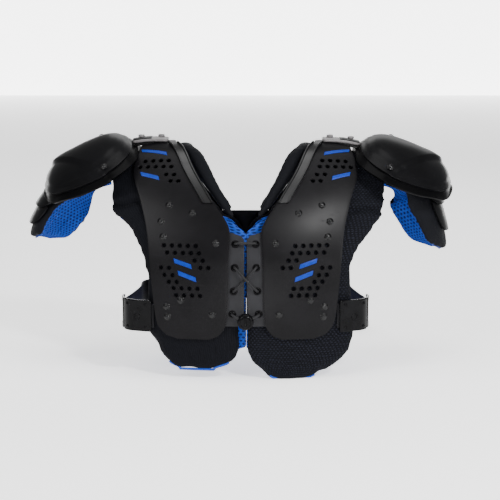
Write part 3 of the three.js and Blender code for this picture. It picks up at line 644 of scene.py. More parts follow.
def lay_weave(obj, sheet):
    """Gives a remeshed piece the cloth coordinates of the sheet it came from, in metres."""
    points, places = sheet
    tree = KDTree(len(points))
    for i, co in enumerate(points):
        tree.insert(co, i)
    tree.balance()
    weave = obj.data.uv_layers.new(name="weave")
    values = []
    for v in obj.data.vertices:
        near = tree.find_n(v.co, 4)
        weights = [1 / (d + 1e-4) ** 2 for _, _, d in near]
        total = sum(weights)
        pairs = [(places[i], w) for (_, i, _), w in zip(near, weights)]
        values.append(tuple(sum(w * at[k] for at, w in pairs) / total for k in (0, 1)))
    for loop in obj.data.loops:
        weave.data[loop.index].uv = values[loop.vertex_index]


def cloth_places(bm):
    """A grid's points and their cloth coordinates, for lay_weave."""
    weave = bm.loops.layers.uv["weave"]
    found = {}
    for f in bm.faces:
        for loop in f.loops:
            found[loop.vert.index] = (loop.vert.co.copy(), tuple(loop[weave].uv))
    return [co for co, _ in found.values()], [uv for _, uv in found.values()]


# --- Materials ---


class Value:
    """A shader number that Python's operators join with Math nodes."""

    def __init__(self, surface, socket):
        self.surface = surface
        self.socket = socket

    def math(self, operation, *others, first=None):
        values = enumerate([self.socket if first is None else first, *others])
        node = self.surface.add("ShaderNodeMath", {"operation": operation}, dict(values))
        return Value(self.surface, node.outputs[0])

    def __add__(self, other):
        return self.math("ADD", other)

    __radd__ = __add__

    def __sub__(self, other):
        return self.math("SUBTRACT", other)

    def __rsub__(self, other):
        return self.math("SUBTRACT", self, first=other)

    def __mul__(self, other):
        return self.math("MULTIPLY", other)

    __rmul__ = __mul__

    def __pow__(self, other):
        return self.math("POWER", other)

    def sine(self):
        return self.math("SINE")

    def wrapped(self, span):
        return self.math("WRAP", span / 2, -span / 2)

    def smallest(self, other):
        return self.math("MINIMUM", other)

    def between(self, low, high, start=0.0, end=1.0):
        """Goes smoothly from start to end as the value goes from low to high."""
        ends = {"From Min": low, "From Max": high, "To Min": start, "To Max": end}
        node = self.surface.add(
            "ShaderNodeMapRange",
            {"interpolation_type": "SMOOTHSTEP", "clamp": True},
            {"Value": self.socket, **ends},
        )
        return Value(self.surface, node.outputs[0])


def socket_name(key):
    return key.replace("_", " ").title().replace("Ior", "IOR")


class Surface:
    """A material whose nodes are all made by add()."""

    def __init__(self, name, **fixed):
        self.material = bpy.data.materials.new(name)
        self.material.use_nodes = True
        self.tree = self.material.node_tree
        self.shader = self.tree.nodes["Principled BSDF"]
        self.normal = None
        self.coords = {}
        for key, value in fixed.items():
            self.shader.inputs[socket_name(key)].default_value = value

    def add(self, kind, settings=None, inputs=None):
        node = self.tree.nodes.new(kind)
        for key, value in (settings or {}).items():
            setattr(node, key, value)
        for key, value in (inputs or {}).items():
            value = getattr(value, "socket", value)
            if isinstance(value, bpy.types.NodeSocket):
                self.tree.links.new(value, node.inputs[key])
            else:
                node.inputs[key].default_value = value
        return node

    def place(self, kind="Object"):
        """The object's or the cloth's own coordinates in metres: a vector and its three numbers."""
        if kind not in self.coords:
            if kind == "weave":
                vector = self.add("ShaderNodeUVMap", {"uv_map": "weave"}).outputs[0]
            else:
                vector = self.add("ShaderNodeTexCoord").outputs["Object"]
            split = self.add("ShaderNodeSeparateXYZ", None, {0: vector})
            self.coords[kind] = (vector, *(Value(self, split.outputs[n]) for n in range(3)))
        return self.coords[kind]

    def noise(self, scale, detail=3.0, kind="Object", roughness=0.5, stretch=None):
        vector = self.place(kind)[0]
        if stretch:
            mapping = self.add("ShaderNodeMapping", None, {"Vector": vector, "Scale": stretch})
            vector = mapping.outputs[0]
        node = self.add(
            "ShaderNodeTexNoise", None,
            {"Vector": vector, "Scale": scale, "Detail": detail, "Roughness": roughness},
        )
        return Value(self, node.outputs[0])

    def cells(self, scale, kind="Object"):
        vector = self.place(kind)[0]
        node = self.add("ShaderNodeTexVoronoi", None, {"Vector": vector, "Scale": scale})
        return Value(self, node.outputs["Distance"])

    def colour(self, factor, first, second):
        """Mixes two colours, each a tuple or an earlier mix."""
        first, second = ((*c, 1.0) if isinstance(c, tuple) else c for c in (first, second))
        node = self.add("ShaderNodeMix", {"data_type": "RGBA"}, {0: factor, 6: first, 7: second})
        return node.outputs[2]

    def bump(self, height, depth_mm, strength=1.0):
        inputs = {"Height": height, "Distance": depth_mm * MM, "Strength": strength}
        if self.normal is not None:
            inputs["Normal"] = self.normal
        self.normal = self.add("ShaderNodeBump", None, inputs).outputs[0]

    def done(self, **linked):
        for key, value in linked.items():
            value = getattr(value, "socket", value)
            target = self.shader.inputs[socket_name(key)]
            if isinstance(value, bpy.types.NodeSocket):
                self.tree.links.new(value, target)
            else:
                target.default_value = (*value, 1.0) if isinstance(value, tuple) else value
        if self.normal is not None:
            self.tree.links.new(self.normal, self.shader.inputs["Normal"])
        return self.material


def settings():
    return bpy.context.scene.shoulder_pads


def tone(colour, factor):
    return tuple(c * factor for c in colour[:3])


def moulded_shell():
    """Satin charcoal plastic, finely pebbled low on the chest and the back."""
    s = Surface("moulded_shell", specular_ior_level=0.08)
    z = s.place()[3]
    base = tuple(settings().shell_colour)
    cloudy = s.noise(28, 3)
    scuffs = s.noise(60, 4, stretch=(1, 1, 7)).between(0.62, 0.72)
    low = z.between(0.165, 0.15)
    pebble = s.cells(780)
    s.bump(pebble * low, 0.16, 0.7)
    s.bump(s.noise(900, 2), 0.03, 0.5)
    colour = s.colour(cloudy.between(0.3, 0.7), tone(base, 0.85), tone(base, 1.2))
    colour = s.colour(scuffs * 0.3, colour, tone(base, 2.2))
    return s.done(Base_Color=colour, Roughness=cloudy * 0.08 + low * 0.07 + scuffs * 0.1 + 0.29)


def cap_shell(name="cap_shell", gloss=0.06, depth=1.0):
    """Satin black plastic of the caps, epaulets and cups; depth scales its base colour darker, and
    the epaulets' half-dark copy is painted shade.
    """
    s = Surface(name, coat_weight=0.02, coat_roughness=0.12, specular_ior_level=gloss)
    base = tone(settings().cap_colour, depth)
    cloudy = s.noise(22, 3)
    scuffs = s.noise(50, 5, stretch=(1, 5, 2)).between(0.64, 0.74)
    s.bump(s.noise(620, 2), 0.04, 0.5)
    colour = s.colour(cloudy.between(0.3, 0.7), tone(base, 0.8), tone(base, 1.25))
    colour = s.colour(scuffs * 0.25, colour, tone(base, 3))
    return s.done(Base_Color=colour, Roughness=cloudy * 0.1 + scuffs * 0.12 + 0.26)


def flap_plastic():
    """Matt charcoal plastic with a fine leather grain."""
    s = Surface("flap_plastic", specular_ior_level=0.1)
    base = tuple(settings().flap_colour)
    grain = s.cells(620)
    s.bump(grain, 0.12, 0.5)
    cloudy = s.noise(40, 3)
    colour = s.colour(cloudy.between(0.3, 0.7), tone(base, 0.85), tone(base, 1.15))
    return s.done(Base_Color=colour, Roughness=grain * 0.1 + 0.45)


def black_plastic(name="black_plastic", gloss=0.07):
    s = Surface(name, specular_ior_level=gloss)
    cloudy = s.noise(90, 2)
    s.bump(s.noise(700, 2), 0.02, 0.4)
    colour = s.colour(cloudy.between(0.3, 0.7), (0.0015, 0.0015, 0.0018), (0.003, 0.003, 0.0035))
    return s.done(Base_Color=colour, Roughness=cloudy * 0.06 + 0.1)


def grey_metal():
    """Grey painted metal with fine brushing."""
    s = Surface("grey_metal", coat_weight=0.05, coat_roughness=0.2, specular_ior_level=0.3)
    brushed = s.noise(420, 3, stretch=(0.08, 1, 1))
    s.bump(brushed, 0.03, 0.5)
    colour = s.colour(brushed.between(0.3, 0.7), (0.085, 0.08, 0.082), (0.14, 0.133, 0.135))
    return s.done(Base_Color=colour, Roughness=brushed * 0.15 + 0.34, Metallic=0.3)


def accent_blue():
    """Flat blue moulded inlay."""
    s = Surface("accent_blue", specular_ior_level=0.14)
    cloudy = s.noise(120, 3)
    base = tuple(settings().accent_colour)
    s.bump(s.noise(800, 2), 0.03, 0.4)
    colour = s.colour(cloudy.between(0.3, 0.7), tone(base, 0.88), tone(base, 1.1))
    return s.done(Base_Color=colour, Roughness=cloudy * 0.1 + 0.3)


def staggered_holes(s, pitch):
    """Round holes in staggered rows on the cloth's own coordinates: 1 at a hole's middle."""
    _, u, v, _ = s.place("weave")
    row = pitch * 0.866

    def dots(shift_u, shift_v):
        a = (u + shift_u).wrapped(pitch)
        b = (v + shift_v).wrapped(row * 2)
        return (a * a + b * b) ** 0.5

    near = dots(0.0, 0.0).smallest(dots(pitch / 2, row))
    return near.between(pitch * 0.38, pitch * 0.2)


def ribbed_fabric():
    """Black knitted cover with fine ribs that run down the pad."""
    s = Surface("ribbed_fabric", sheen_weight=0.01, sheen_roughness=0.5, specular_ior_level=0.06)
    _, u, v, _ = s.place("weave")
    base = tuple(settings().fabric_colour)
    rib = (u * (2 * math.pi / 0.0024)).sine() * 0.5 + 0.5
    knit = (v * (2 * math.pi / 0.0011)).sine() * 0.5 + 0.5
    fuzz = s.noise(1400, 2)
    s.bump(rib * 0.75 + rib * knit * 0.25, 0.2, 0.7)
    s.bump(fuzz, 0.12, 0.5)
    s.bump(s.noise(45, 3), 1.2, 0.35)
    colour = s.colour(rib, tone(base, 0.8), tone(base, 1.25))
    colour = s.colour(fuzz.between(0.45, 0.75) * 0.3, colour, tone(base, 2.6))
    return s.done(Base_Color=colour, Roughness=rib * -0.15 + 0.85)


def dotted_mesh():
    """Black spacer mesh with staggered holes that show a lighter ground."""
    s = Surface("dotted_mesh", sheen_weight=0.01, sheen_roughness=0.5, specular_ior_level=0.06)
    base = tuple(settings().fabric_colour)
    hole = staggered_holes(s, 0.0034)
    fuzz = s.noise(1400, 2)
    s.bump(1 - hole, 0.6, 0.9)
    s.bump(fuzz, 0.12, 0.5)
    s.bump(s.noise(45, 3), 1.2, 0.35)
    colour = s.colour(hole, tone(base, 0.9), tone(base, 3.6))
    return s.done(Base_Color=colour, Roughness=fuzz * 0.1 + 0.75)


def cushion_cover():
    """Smooth black cover of the neck rolls, with a close plain weave."""
    s = Surface("cushion_cover", sheen_weight=0.01, sheen_roughness=0.4, specular_ior_level=0.07)
    _, u, v, _ = s.place("weave")
    base = tuple(settings().fabric_colour)
    warp = (u * (2 * math.pi / 0.0009)).sine()
    weft = (v * (2 * math.pi / 0.0009)).sine()
    cloth = warp * weft * 0.5 + 0.5
    s.bump(cloth, 0.14, 0.7)
    s.bump(s.noise(60, 3), 0.9, 0.4)
    colour = s.colour(cloth, tone(base, 0.8), tone(base, 1.5))
    return s.done(Base_Color=colour, Roughness=cloth * 0.1 + 0.6)


def mesh_lining():
    """Blue lining mesh: ribs with small holes between them."""
    s = Surface("mesh_lining", sheen_weight=0.1, sheen_roughness=0.4, specular_ior_level=0.2)
    base = tuple(settings().lining_colour)
    u = s.place("weave")[1]
    hole = staggered_holes(s, 0.0048)
    fuzz = s.noise(1300, 2)
    rib = (u * (2 * math.pi / 0.0124)).sine() * 0.5 + 0.5
    s.bump(1 - hole, 0.5, 0.9)
    s.bump(rib, 1.0, 0.5)
    s.bump(s.noise(50, 3), 1.0, 0.4)
    colour = s.colour(hole, tone(base, 1.15), tone(base, 0.16))
    colour = s.colour(fuzz.between(0.5, 0.8) * 0.25, colour, tone(base, 1.7))
    return s.done(Base_Color=colour, Roughness=fuzz * 0.15 + 0.65)


def woven_strap(name, base, pitch=0.0014):
    """Flat woven strap with a twill that runs along it."""
    s = Surface(name, sheen_weight=0.02, sheen_roughness=0.4, specular_ior_level=0.15)
    _, u, v, _ = s.place("weave")
    twill = ((u + v) * (2 * math.pi / (pitch * 1.6))).sine() * 0.5 + 0.5
    weft = (v * (2 * math.pi / pitch)).sine() * 0.5 + 0.5
    s.bump(twill * 0.6 + weft * 0.4, 0.25, 0.9)
    s.bump(s.noise(90, 2), 0.4, 0.4)
    colour = s.colour(twill, tone(base, 0.6), tone(base, 1.4))
    return s.done(Base_Color=colour, Roughness=twill * 0.1 + 0.6)


def braided_cord():
    """Round lace, braided from two sets of strands."""
    s = Surface("braided_cord", sheen_weight=0.02, sheen_roughness=0.4, specular_ior_level=0.2)
    _, u, v, _ = s.place("weave")
    left = ((u + v) * (2 * math.pi / 0.0024)).sine()
    right = ((u - v) * (2 * math.pi / 0.0024)).sine()
    braid = left * right * 0.5 + 0.5
    s.bump(braid, 0.3, 0.9)
    colour = s.colour(braid, (0.0025, 0.0025, 0.003), (0.009, 0.009, 0.0105))
    return s.done(Base_Color=colour, Roughness=braid * 0.1 + 0.5)


def thread(name, base):
    s = Surface(name, sheen_weight=0.03, specular_ior_level=0.2)
    twist = s.noise(900, 2)
    s.bump(twist, 0.1, 0.6)
    colour = s.colour(twist.between(0.3, 0.7), tone(base, 0.7), tone(base, 1.3))
    return s.done(Base_Color=colour, Roughness=0.6)


FINISHES = {
    "shell": moulded_shell,
    "cap": cap_shell,
    "rail": lambda: cap_shell("rail_shell", 0.4, 0.8),
    # The epaulet plastic is the cap plastic at half its colour: painted shade, for the shadow under
    # the caps.
    "epaulet": lambda: cap_shell("epaulet_shell_painted_shade", 0.03, 0.5),
    "flap": flap_plastic,
    "black": black_plastic,
    "rivet": lambda: black_plastic("rivet_head", 0.22),
    "metal": grey_metal,
    "accent": accent_blue,
    "ribbed": ribbed_fabric,
    "dotted": dotted_mesh,
    "cushion": cushion_cover,
    "lining": mesh_lining,
    "webbing": lambda: woven_strap("webbing", (0.006, 0.006, 0.0075)),
    "strap_grey": lambda: woven_strap("strap_grey", (0.3, 0.3, 0.32), 0.0011),
    "lace": braided_cord,
    "thread": lambda: thread("thread", (0.014, 0.014, 0.016)),
    "piping_blue": lambda: thread("piping_blue", tuple(settings().lining_colour)),
}
_made = {}


def material(name):
    if name not in _made:
        _made[name] = FINISHES[name]()
    return _made[name]


# --- Shells ---


def along_arch(side):
    def place(u, v, lift):
        share = mix(ARCH_ROWS["share"][0], ARCH_ROWS["share"][-1], eased(v))
        return on_form(side["hand"] * mix(neck_edge(share), arch_arm(share), u), share, lift)

    return place


def vent_cutter(hand, x, share, diameter):
    radius, mouth = diameter / 2, diameter / 2 + 0.7
    outline = (
        (0, -5), (radius, -5), (radius, ARCH_WALL - 0.8), (mouth, ARCH_WALL), (mouth, 9), (0, 9)
    )
    at = hand * x * HALF_WIDTH
    return turned(outline, on_form(at, share, ARCH_IN), form_normal(at, share), 16)


def build_arch(side):
    arch = stood(f"arch_shell_{side['name']}", grid(30, 150, along_arch(side), ARCH_OUT))
    add_wall(arch, ARCH_WALL, 0.9)
    apply_modifiers(arch)
    diameter = settings().vent_diameter / MM
    vents = [
        vent_cutter(side["hand"], first - n * VENT_PITCH, share, diameter)
        for share, first, count in VENT_ROWS
        for n in range(count)
    ]
    cut_away(arch, joined(vents))
    finished(arch, material("shell"), "shell", f"arch_{side['name']}")


def on_dome_disc(side, margin):
    def place(u, v, lift):
        p, q = 2 * u - 1, 2 * v - 1
        a, b = p * math.sqrt(1 - q * q / 2), q * math.sqrt(1 - p * p / 2)
        ring = math.hypot(a, b)
        square = ring / (abs(a) ** 3 + abs(b) ** 3) ** (1 / 3) if ring else 0
        lift -= 1.6 * smoothstep(ring, 0.9, 0.925)
        lift += 1.0 * smoothstep(-ring, -0.82, -0.78) * smoothstep(-a, -0.3, 0.1)
        along = a * square * (CAP_HALF_LENGTH + margin)
        return on_dome(side, along, b * square * (CAP_HALF_WIDTH + margin), lift)

    return place


def build_dome(side, name, finish, margin, lift, wall):
    dome = stood(f"{name}_shell_{side['name']}", grid(64, 64, on_dome_disc(side, margin), lift))
    add_wall(dome, wall, wall * 0.3)
    finished(dome, material(finish), "cap_shell", f"{name}_{side['name']}", sharp=50)


def build_cup(side, name, first, last, fore, aft, layer):
    def place(u, v, lift):
        share = eased(v)
        rounded = 0.72 + 0.28 * math.sqrt(max(1 - abs(2 * share - 1) ** 7, 0))
        narrower = (1 - 0.3 * share**3) * rounded
        return on_arm(side, mix(first, last, share), mix(-fore, aft, u) * narrower, lift)

    outer = CURVED_GAP + layer * (CUP_WALL + CURVED_GAP) + CUP_WALL
    cup = stood(f"{name}_shell_{side['name']}", grid(60, 30, place, outer))
    add_wall(cup, CUP_WALL, 0.8)
    finished(cup, material("cap"), "cap_shell", f"{name}_{side['name']}")


def build_rail(side):
    width, height, floor, lip = 14.0, 4.0, 1.2, 2.0
    section = (
        (0.4, 0), (width - 0.4, 0), (width, 0.4), (width, height - 0.6), (width - 0.6, height),
        (width - lip + 0.5, height), (width - lip, height - 0.5), (width - lip, floor + 0.3),
        (width - lip - 0.3, floor), (lip + 0.3, floor), (lip, floor + 0.3), (lip, height - 0.5),
        (lip - 0.5, height), (0.6, height), (0, height - 0.6), (0, 0.4),
    )

    def place(across, up, v):
        share = mix(0.345, 0.06, v)
        x = neck_edge(share) + 1.5 + across
        return on_form(side["hand"] * x, share, ARCH_OUT + CLEARANCE + up)

    rail = stood(f"neck_channel_{side['name']}", around(section, 70, place))
    finished(rail, material("rail"), "shell", f"neck_rail_{side['name']}", sharp=40)


# --- Padding ---


def on_pad(side):
    rows = PAD_ROWS[side["name"]]["share"]

    def place(u, v, lift):
        share = mix(rows[0] + END_ROOM, rows[-1] - END_ROOM, v)
        neck, arm = pad_edges(side, share)
        return on_form(side["hand"] * mix(neck - EDGE_ROOM, arm + EDGE_ROOM, u), share, lift)

    return place


def above_floor(obj, settle=0.0):
    """Keeps a pad off the floor, its foot let down first by up to settle."""
    for v in obj.data.vertices:
        v.co.z = max(v.co.z - settle * MM * smoothstep(-v.co.z / MM, -14, 0), 0.0)


def crease(pad, share):
    """A fold across the chest side of a pad, with a soft bulge above and below it."""
    for v in pad.data.vertices:
        point = (v.co - SHIFT) / MM
        if point.y > -20:
            continue
        away = point.z - on_form(point.x, share).z + 1.5 * math.sin(point.x / 7)
        beyond = smoothstep(abs(point.x), arch_arm(share) - 4, arch_arm(share) + 4)
        depth = 4.2 * math.exp(-((away / 3.2) ** 2)) - 1.6 * math.exp(-((abs(away) - 9) / 6) ** 2)
        v.co -= form_normal(point.x, share) * depth * beyond * MM


def build_body_pad(side):
    name = f"body_pad_{side['name']}"
    sheet = grid(26, 170, on_pad(side), -1.6)
    places = cloth_places(sheet)
    pad = stood(f"padded_body_{side['name']}", sheet)
    add_wall(pad, PAD_WALL - 3.2, 0)
    apply_modifiers(pad)
    above_floor(pad)
    fold = FOLDS[side["name"]]

    def seam(co):
        point = (co - SHIFT) / MM
        gap = abs(point.z - on_form(point.x, fold).z)
        return 1.0 if gap < 3.5 and point.y < -30 else 0.0

    swell(pad, neighbours(name), seam, cap=settings().pad_swell / MM, softness=8)
    above_floor(pad, 3.0)
    crease(pad, fold)
    lay_weave(pad, places)
    finished(pad, material(COVERS[side["name"]]), "pad_fabric", name, sharp=180)


def build_arm_pad(side):
    name = f"arm_pad_{side['name']}"

    def place(u, v, lift):
        row = 6 * v
        angle = mix(-arm_value(side, "fore", row), arm_value(side, "aft", row), u)
        return on_arm(side, row, angle, lift)

    sheet = grid(40, 60, place, -1.4)
    places = cloth_places(sheet)
    pad = stood(f"padded_arm_{side['name']}", sheet)
    add_wall(pad, ARM_PAD_WALL - 2.6, 0)
    swell(pad, neighbours(name), cap=3.0, voxel=4.0, softness=5)
    lay_weave(pad, places)
    finished(pad, material("cushion"), "pad_fabric", name, sharp=180)


def build_roll(side):
    name = f"neck_roll_{side['name']}"

    def place(u, v, lift):
        along = min(max(v, 0.001), 0.999)
        share = mix(0.395, -0.43, eased(along))
        ring = math.sin(math.pi * along) ** 0.55
        turn = 2 * math.pi * u
        middle = neck_edge(share) + CLEARANCE - 14.0
        return on_form(
            side["hand"] * (middle + math.cos(turn) * ring * (12.4 + lift)),
            share,
            -4.0 + math.sin(turn) * ring * (8.6 + lift),
        )

    sheet = grid(24, 90, place)
    places = cloth_places(sheet)
    bmesh.ops.remove_doubles(sheet, verts=sheet.verts, dist=1e-5)
    bmesh.ops.holes_fill(sheet, edges=[e for e in sheet.edges if e.is_boundary])
    bmesh.ops.recalc_face_normals(sheet, faces=sheet.faces)
    roll = stood(f"cushioned_roll_{side['name']}", sheet)
    swell(roll, neighbours(name), cap=2.6, voxel=4.0)
    lay_weave(roll, places)
    finished(roll, material("cushion"), "cushion", name, sharp=180)


def pillows(a, b, size):
    """Low quilted relief from 0 at the seams to 1."""
    return (abs(math.sin(math.pi * a / size)) * abs(math.sin(math.pi * b / size))) ** 0.5


def build_liner(side):
    rows = PAD_ROWS[side["name"]]["share"]

    def place(u, v, depth):
        share = mix(rows[0], rows[-1], v)
        neck, arm = pad_edges(side, share)
        past = min(max((share - 0.335) / 0.12, 0), 1) * smoothstep(-share, -0.93, -0.89)
        x = mix(max(neck + mix(5, -24, past), -1.0 if side["hand"] < 0 else 1.3), arm - 6.5, u)
        edge = min(u, 1 - u, v * 3, (1 - v) * 3) * 14
        relief = 1.6 * pillows(x, share * SHARE_RUN, 34) * min(edge, 1)
        return on_form(side["hand"] * x, share, -depth - relief)

    sheet = grid(44, 240, place, PAD_WALL + CURVED_GAP + 2.2)
    liner = stood(f"mesh_lining_{side['name']}", sheet)
    add_wall(liner, 2.0, 0.7)
    apply_modifiers(liner)
    for v in liner.data.vertices:
        v.co.z = max(v.co.z, 2.5 * MM)
    finished(liner, material("lining"), "mesh_lining", f"liner_{side['name']}", sharp=60)


def build_arm_liner(side):
    def place(u, v, depth):
        row = 6 * v
        angle = mix(12 - arm_value(side, "fore", row), arm_value(side, "aft", row), u)
        edge = min(u * 7, (1 - u) * 7, v * 7, (1 - v) * 7, 1)
        relief = 1.3 * abs(math.sin(math.pi * angle / 13)) ** 0.6 * edge
        return on_arm(side, row, angle, -depth - relief)

    liner = stood(f"arm_lining_{side['name']}", grid(72, 50, place, ARM_PAD_WALL + 2.2 + 1.6))
    add_wall(liner, 1.5, 0.5)
    finished(liner, material("lining"), "mesh_lining", f"arm_liner_{side['name']}", sharp=60)


# --- Lacing ---


def flap_front(share):
    return 1.8 + smooth_at(FLAP_ROWS["share"], FLAP_ROWS["front"], share) * HALF_WIDTH


def on_flap(side, u, v, lift):
    share = mix(FLAP_ROWS["share"][0], FLAP_ROWS["share"][-1], v)
    return on_form(side["hand"] * mix(flap_front(share), 0.27 * HALF_WIDTH, u), share, lift)


EYELET = ((2.4, 0), (5, 0), (5, 0.5), (4.7, 1.3), (4.0, 2.1), (3.3, 2.4), (2.7, 2.1), (2.4, 1.4),
          (2.4, 0))


def build_flap(side):
    hand = side["hand"]

    def place(u, v, lift):
        return on_flap(side, u, eased(v), lift)

    flap = stood(f"chest_flap_{side['name']}", grid(16, 70, place, FLAP_OUT))
    add_wall(flap, FLAP_WALL, 0.7)
    apply_modifiers(flap)
    bores = []
    for share, across in EYELET_ROWS:
        x = hand * across * HALF_WIDTH
        outline = ((0, -4), (2.4, -4), (2.4, 6), (0, 6))
        bores.append(turned(outline, on_form(x, share, FLAP_OUT - 1.2), form_normal(x, share), 20))
    cut_away(flap, joined(bores))
    finished(flap, material("flap"), "flap_plastic", f"lace_flap_{side['name']}")
    for n, (share, across) in enumerate(EYELET_ROWS, 1):
        x = hand * across * HALF_WIDTH
        eye = stood(
            f"lace_eye_{n}_{side['name']}",
            turned(EYELET, on_form(x, share, FLAP_OUT + 0.1), form_normal(x, share), 36),
        )
        finished(eye, material("black"), "black_plastic", f"eyelet_{n}_{side['name']}")


LACE = 3.4
LACE_TOP = FLAP_OUT + 7.0
LOCK_SHARE = 0.79
LOCK_RADIUS = 21.0 / 2


def over_eyelet(hand, row, lift):
    share, across = EYELET_ROWS[row]
    return on_form(hand * across * HALF_WIDTH, share, lift)


def lace_run(left_row, right_row, extra):
    start, end = over_eyelet(-1, left_row, LACE_TOP), over_eyelet(1, right_row, LACE_TOP)
    share = (EYELET_ROWS[left_row][0] + EYELET_ROWS[right_row][0]) / 2
    points = [
        over_eyelet(-1, left_row, CLEARANCE),
        over_eyelet(-1, left_row, LACE_TOP - LACE * 0.6),
        start.lerp(end, 0.17),
        on_form(0, share, LACE_TOP + extra),
        end.lerp(start, 0.2),
        over_eyelet(1, right_row, LACE_TOP - LACE * 0.6),
        over_eyelet(1, right_row, CLEARANCE),
    ]
    return swept(Line(points), ring_section(LACE, 14), 60)


def build_laces():
    top = stood("chest_lace_top", lace_run(0, 0, 0))
    finished(top, material("lace"), "lacing", "lace_top", sharp=70)
    runs = [lace_run(1, 2, LACE * 0.55), lace_run(2, 1, -LACE * 0.55)]
    cross = stood("chest_lace_cross", joined(runs))
    finished(cross, material("lace"), "lacing", "lace_cross", sharp=70)
    lock = on_form(0, LOCK_SHARE, LACE_TOP)
    for side in SIDES:
        eye = over_eyelet(side["hand"], 3, LACE_TOP)
        away = (eye - lock).normalized()
        meets = lock + away * (LOCK_RADIUS - 0.8)
        points = [
            over_eyelet(side["hand"], 3, CLEARANCE),
            over_eyelet(side["hand"], 3, LACE_TOP - LACE * 0.5),
            lock + away * (LOCK_RADIUS + CLEARANCE + LACE * 0.4),
            meets,
        ]
        cord = swept(Line(points), ring_section(LACE, 14), 36)
        end = stood(f"chest_lace_end_{side['name']}", cord)
        finished(end, material("lace"), "lacing", f"lace_end_{side['name']}", sharp=70)


def build_cord_lock():
    outline = (
        (0, 0), (9.0, 0), (9.9, 0.5), (10.4, 1.6), (10.5, 3), (10.1, 3.5), (10.1, 4.2), (10.5, 4.7),
        (10.5, 7.6), (10.2, 8.8), (9.3, 9.9), (8.0, 10.7), (6.6, 11), (6.2, 10.6), (0, 10.4),
    )
    base = on_form(0, LOCK_SHARE, FLAP_OUT + CLEARANCE)
    normal = form_normal(0, LOCK_SHARE)
    lock = stood("lace_lock", turned(outline, base, normal, 48))
    slot = bmesh.new()
    bmesh.ops.create_cube(slot, size=1, matrix=Matrix.Diagonal((3 * MM, 6 * MM, 9 * MM, 1)))
    bmesh.ops.bevel(slot, geom=slot.edges, offset=0.6 * MM, affect="EDGES", segments=2,
                    profile=0.5, material=-1)
    turn = Vector((0, -1, 0)).rotation_difference(normal).to_matrix().to_4x4()
    stand = Matrix.Translation(to_frame(base + normal * 11))
    bmesh.ops.transform(slot, verts=slot.verts, matrix=stand @ turn)
    cut_away(lock, slot)
    finished(lock, material("black"), "black_plastic", "cord_lock")


def build_back_panel():
    def place(u, v, lift):
        end = abs(2 * v - 1)
        half = 40.0 * (0.86 + 0.14 * math.sqrt(max(1 - end**8, 0)))
        return on_form(mix(-half, half, u), mix(-0.44, -0.82, v), lift)

    panel = stood("back_plate", grid(30, 50, place, FLAP_OUT))
    add_wall(panel, FLAP_WALL, 0.7)
    finished(panel, material("shell"), "shell", "back_panel")


# --- Shoulder bars, rivets and belts ---


def on_bar(side, part, deep, lift):
    start = side["hand"] * (neck_edge(0) + 8.0)
    face = BACK if deep > 0 else CHEST
    on_arch = on_form(start, -deep / face.length, ARCH_OUT + CLEARANCE + 3.6 + lift)
    at_cap = on_dome(side, -CAP_HALF_LENGTH - CLEARANCE, deep, lift)
    return on_arch.lerp(at_cap, part) + Vector((0, 0, 8.0 * part * (1 - part)))


def build_bar(side):
    def place(u, v, lift):
        end = 0.86 + 0.14 * math.sqrt(max(1 - abs(2 * u - 1) ** 8, 0))
        return on_bar(side, u, mix(-17, 17, v) * end, lift)

    bar = stood(f"top_bar_{side['name']}", grid(24, 16, place))
    add_wall(bar, 3.6, 0.9)
    finished(bar, material("metal"), "grey_metal", f"shoulder_bar_{side['name']}")

    def over(u, v, lift):
        fold = smoothstep(-v, -0.16, -0.04)
        return on_bar(side, mix(0.46, 0.98, u), mix(-20, 20, max(v, 0.1)), lift - 8 * fold)

    # A black bracket plate over the bar's outer half, its edge folded down; it takes the darkened
    # epaulet plastic, painted shade.
    plate = stood(f"cap_bracket_{side['name']}", grid(20, 40, over, 0.9))
    add_wall(plate, 0.9, 0.3, 2)
    finished(plate, material("epaulet"), "black_plastic")
    outline = (
        (0, 0), (4.5, 0), (4.5, 1.9), (4.1, 2.6), (3.4, 3), (2.1, 3), (1.9, 2.7), (1.9, 1.4), (0, 1.2)
    )
    for name, part, lift in (("inner", 0.2, 0.1), ("outer", 0.75, 0.9)):
        bolt = turned(outline, on_bar(side, part, 0, lift), Vector((0, 0, 1)), 24)
        head = stood(f"bar_bolt_head_{name}_{side['name']}", bolt)
        finished(head, material("metal"), "grey_metal", f"bar_bolt_{name}_{side['name']}")


def dome_button(point, normal, diameter, height, sides=32):
    """A rivet: a low dome on a thin flange."""
    r = diameter / 2
    dome = [(r * 0.86 * math.cos(a), height * (0.25 + 0.75 * math.sin(a))) for a in
            (math.pi / 2 * n / 7 for n in range(8))]
    flange = [(0, 0), (r, 0), (r, height * 0.14), (r * 0.95, height * 0.22)]
    return turned([*flange, *dome[:-1], (0, height)], point, normal, sides)


def build_cap_rivets(side):
    for name, a, b in (("front", -0.36, -0.9), ("top", -0.42, 0.2)):
        along, deep = a * CAP_HALF_LENGTH, b * CAP_HALF_WIDTH

        def surface(first, second, lift):
            return on_dome(side, first, second, lift)

        at, normal = on_dome(side, along, deep, 0.05), normal_on(surface, along, deep)
        rivet = stood(f"cap_rivet_head_{name}_{side['name']}", dome_button(at, normal, 9.6, 3.2))
        finished(rivet, material("rivet"), "black_plastic", f"cap_rivet_{name}_{side['name']}")


def build_plate_rivets(side):
    size = settings().rivet_diameter / MM
    rivets = []
    for x, share in PLATE_RIVETS:
        at = side["hand"] * x * HALF_WIDTH
        base = on_form(at, share, ARCH_OUT - 0.1)
        rivets.append(dome_button(base, form_normal(at, share), size, 3.2, 28))
    heads = stood(f"plate_rivets_{side['name']}", joined(rivets))
    finished(heads, material("rivet"), "black_plastic")


def band(line, side, first, last, outer, width):
    """A place function over the belt's line, from its lower edge to its upper."""

    def place(u, v, lift):
        point, tangent = line.at(mix(first, last, v))
        away = Vector((tangent.y, -tangent.x, 0)) * side["hand"] * (outer + lift)
        up = BELT_HEIGHT - HEM_DEPTH + (u - 0.5) * width
        return Vector((point.x + away.x, point.y + away.y, up))

    return place


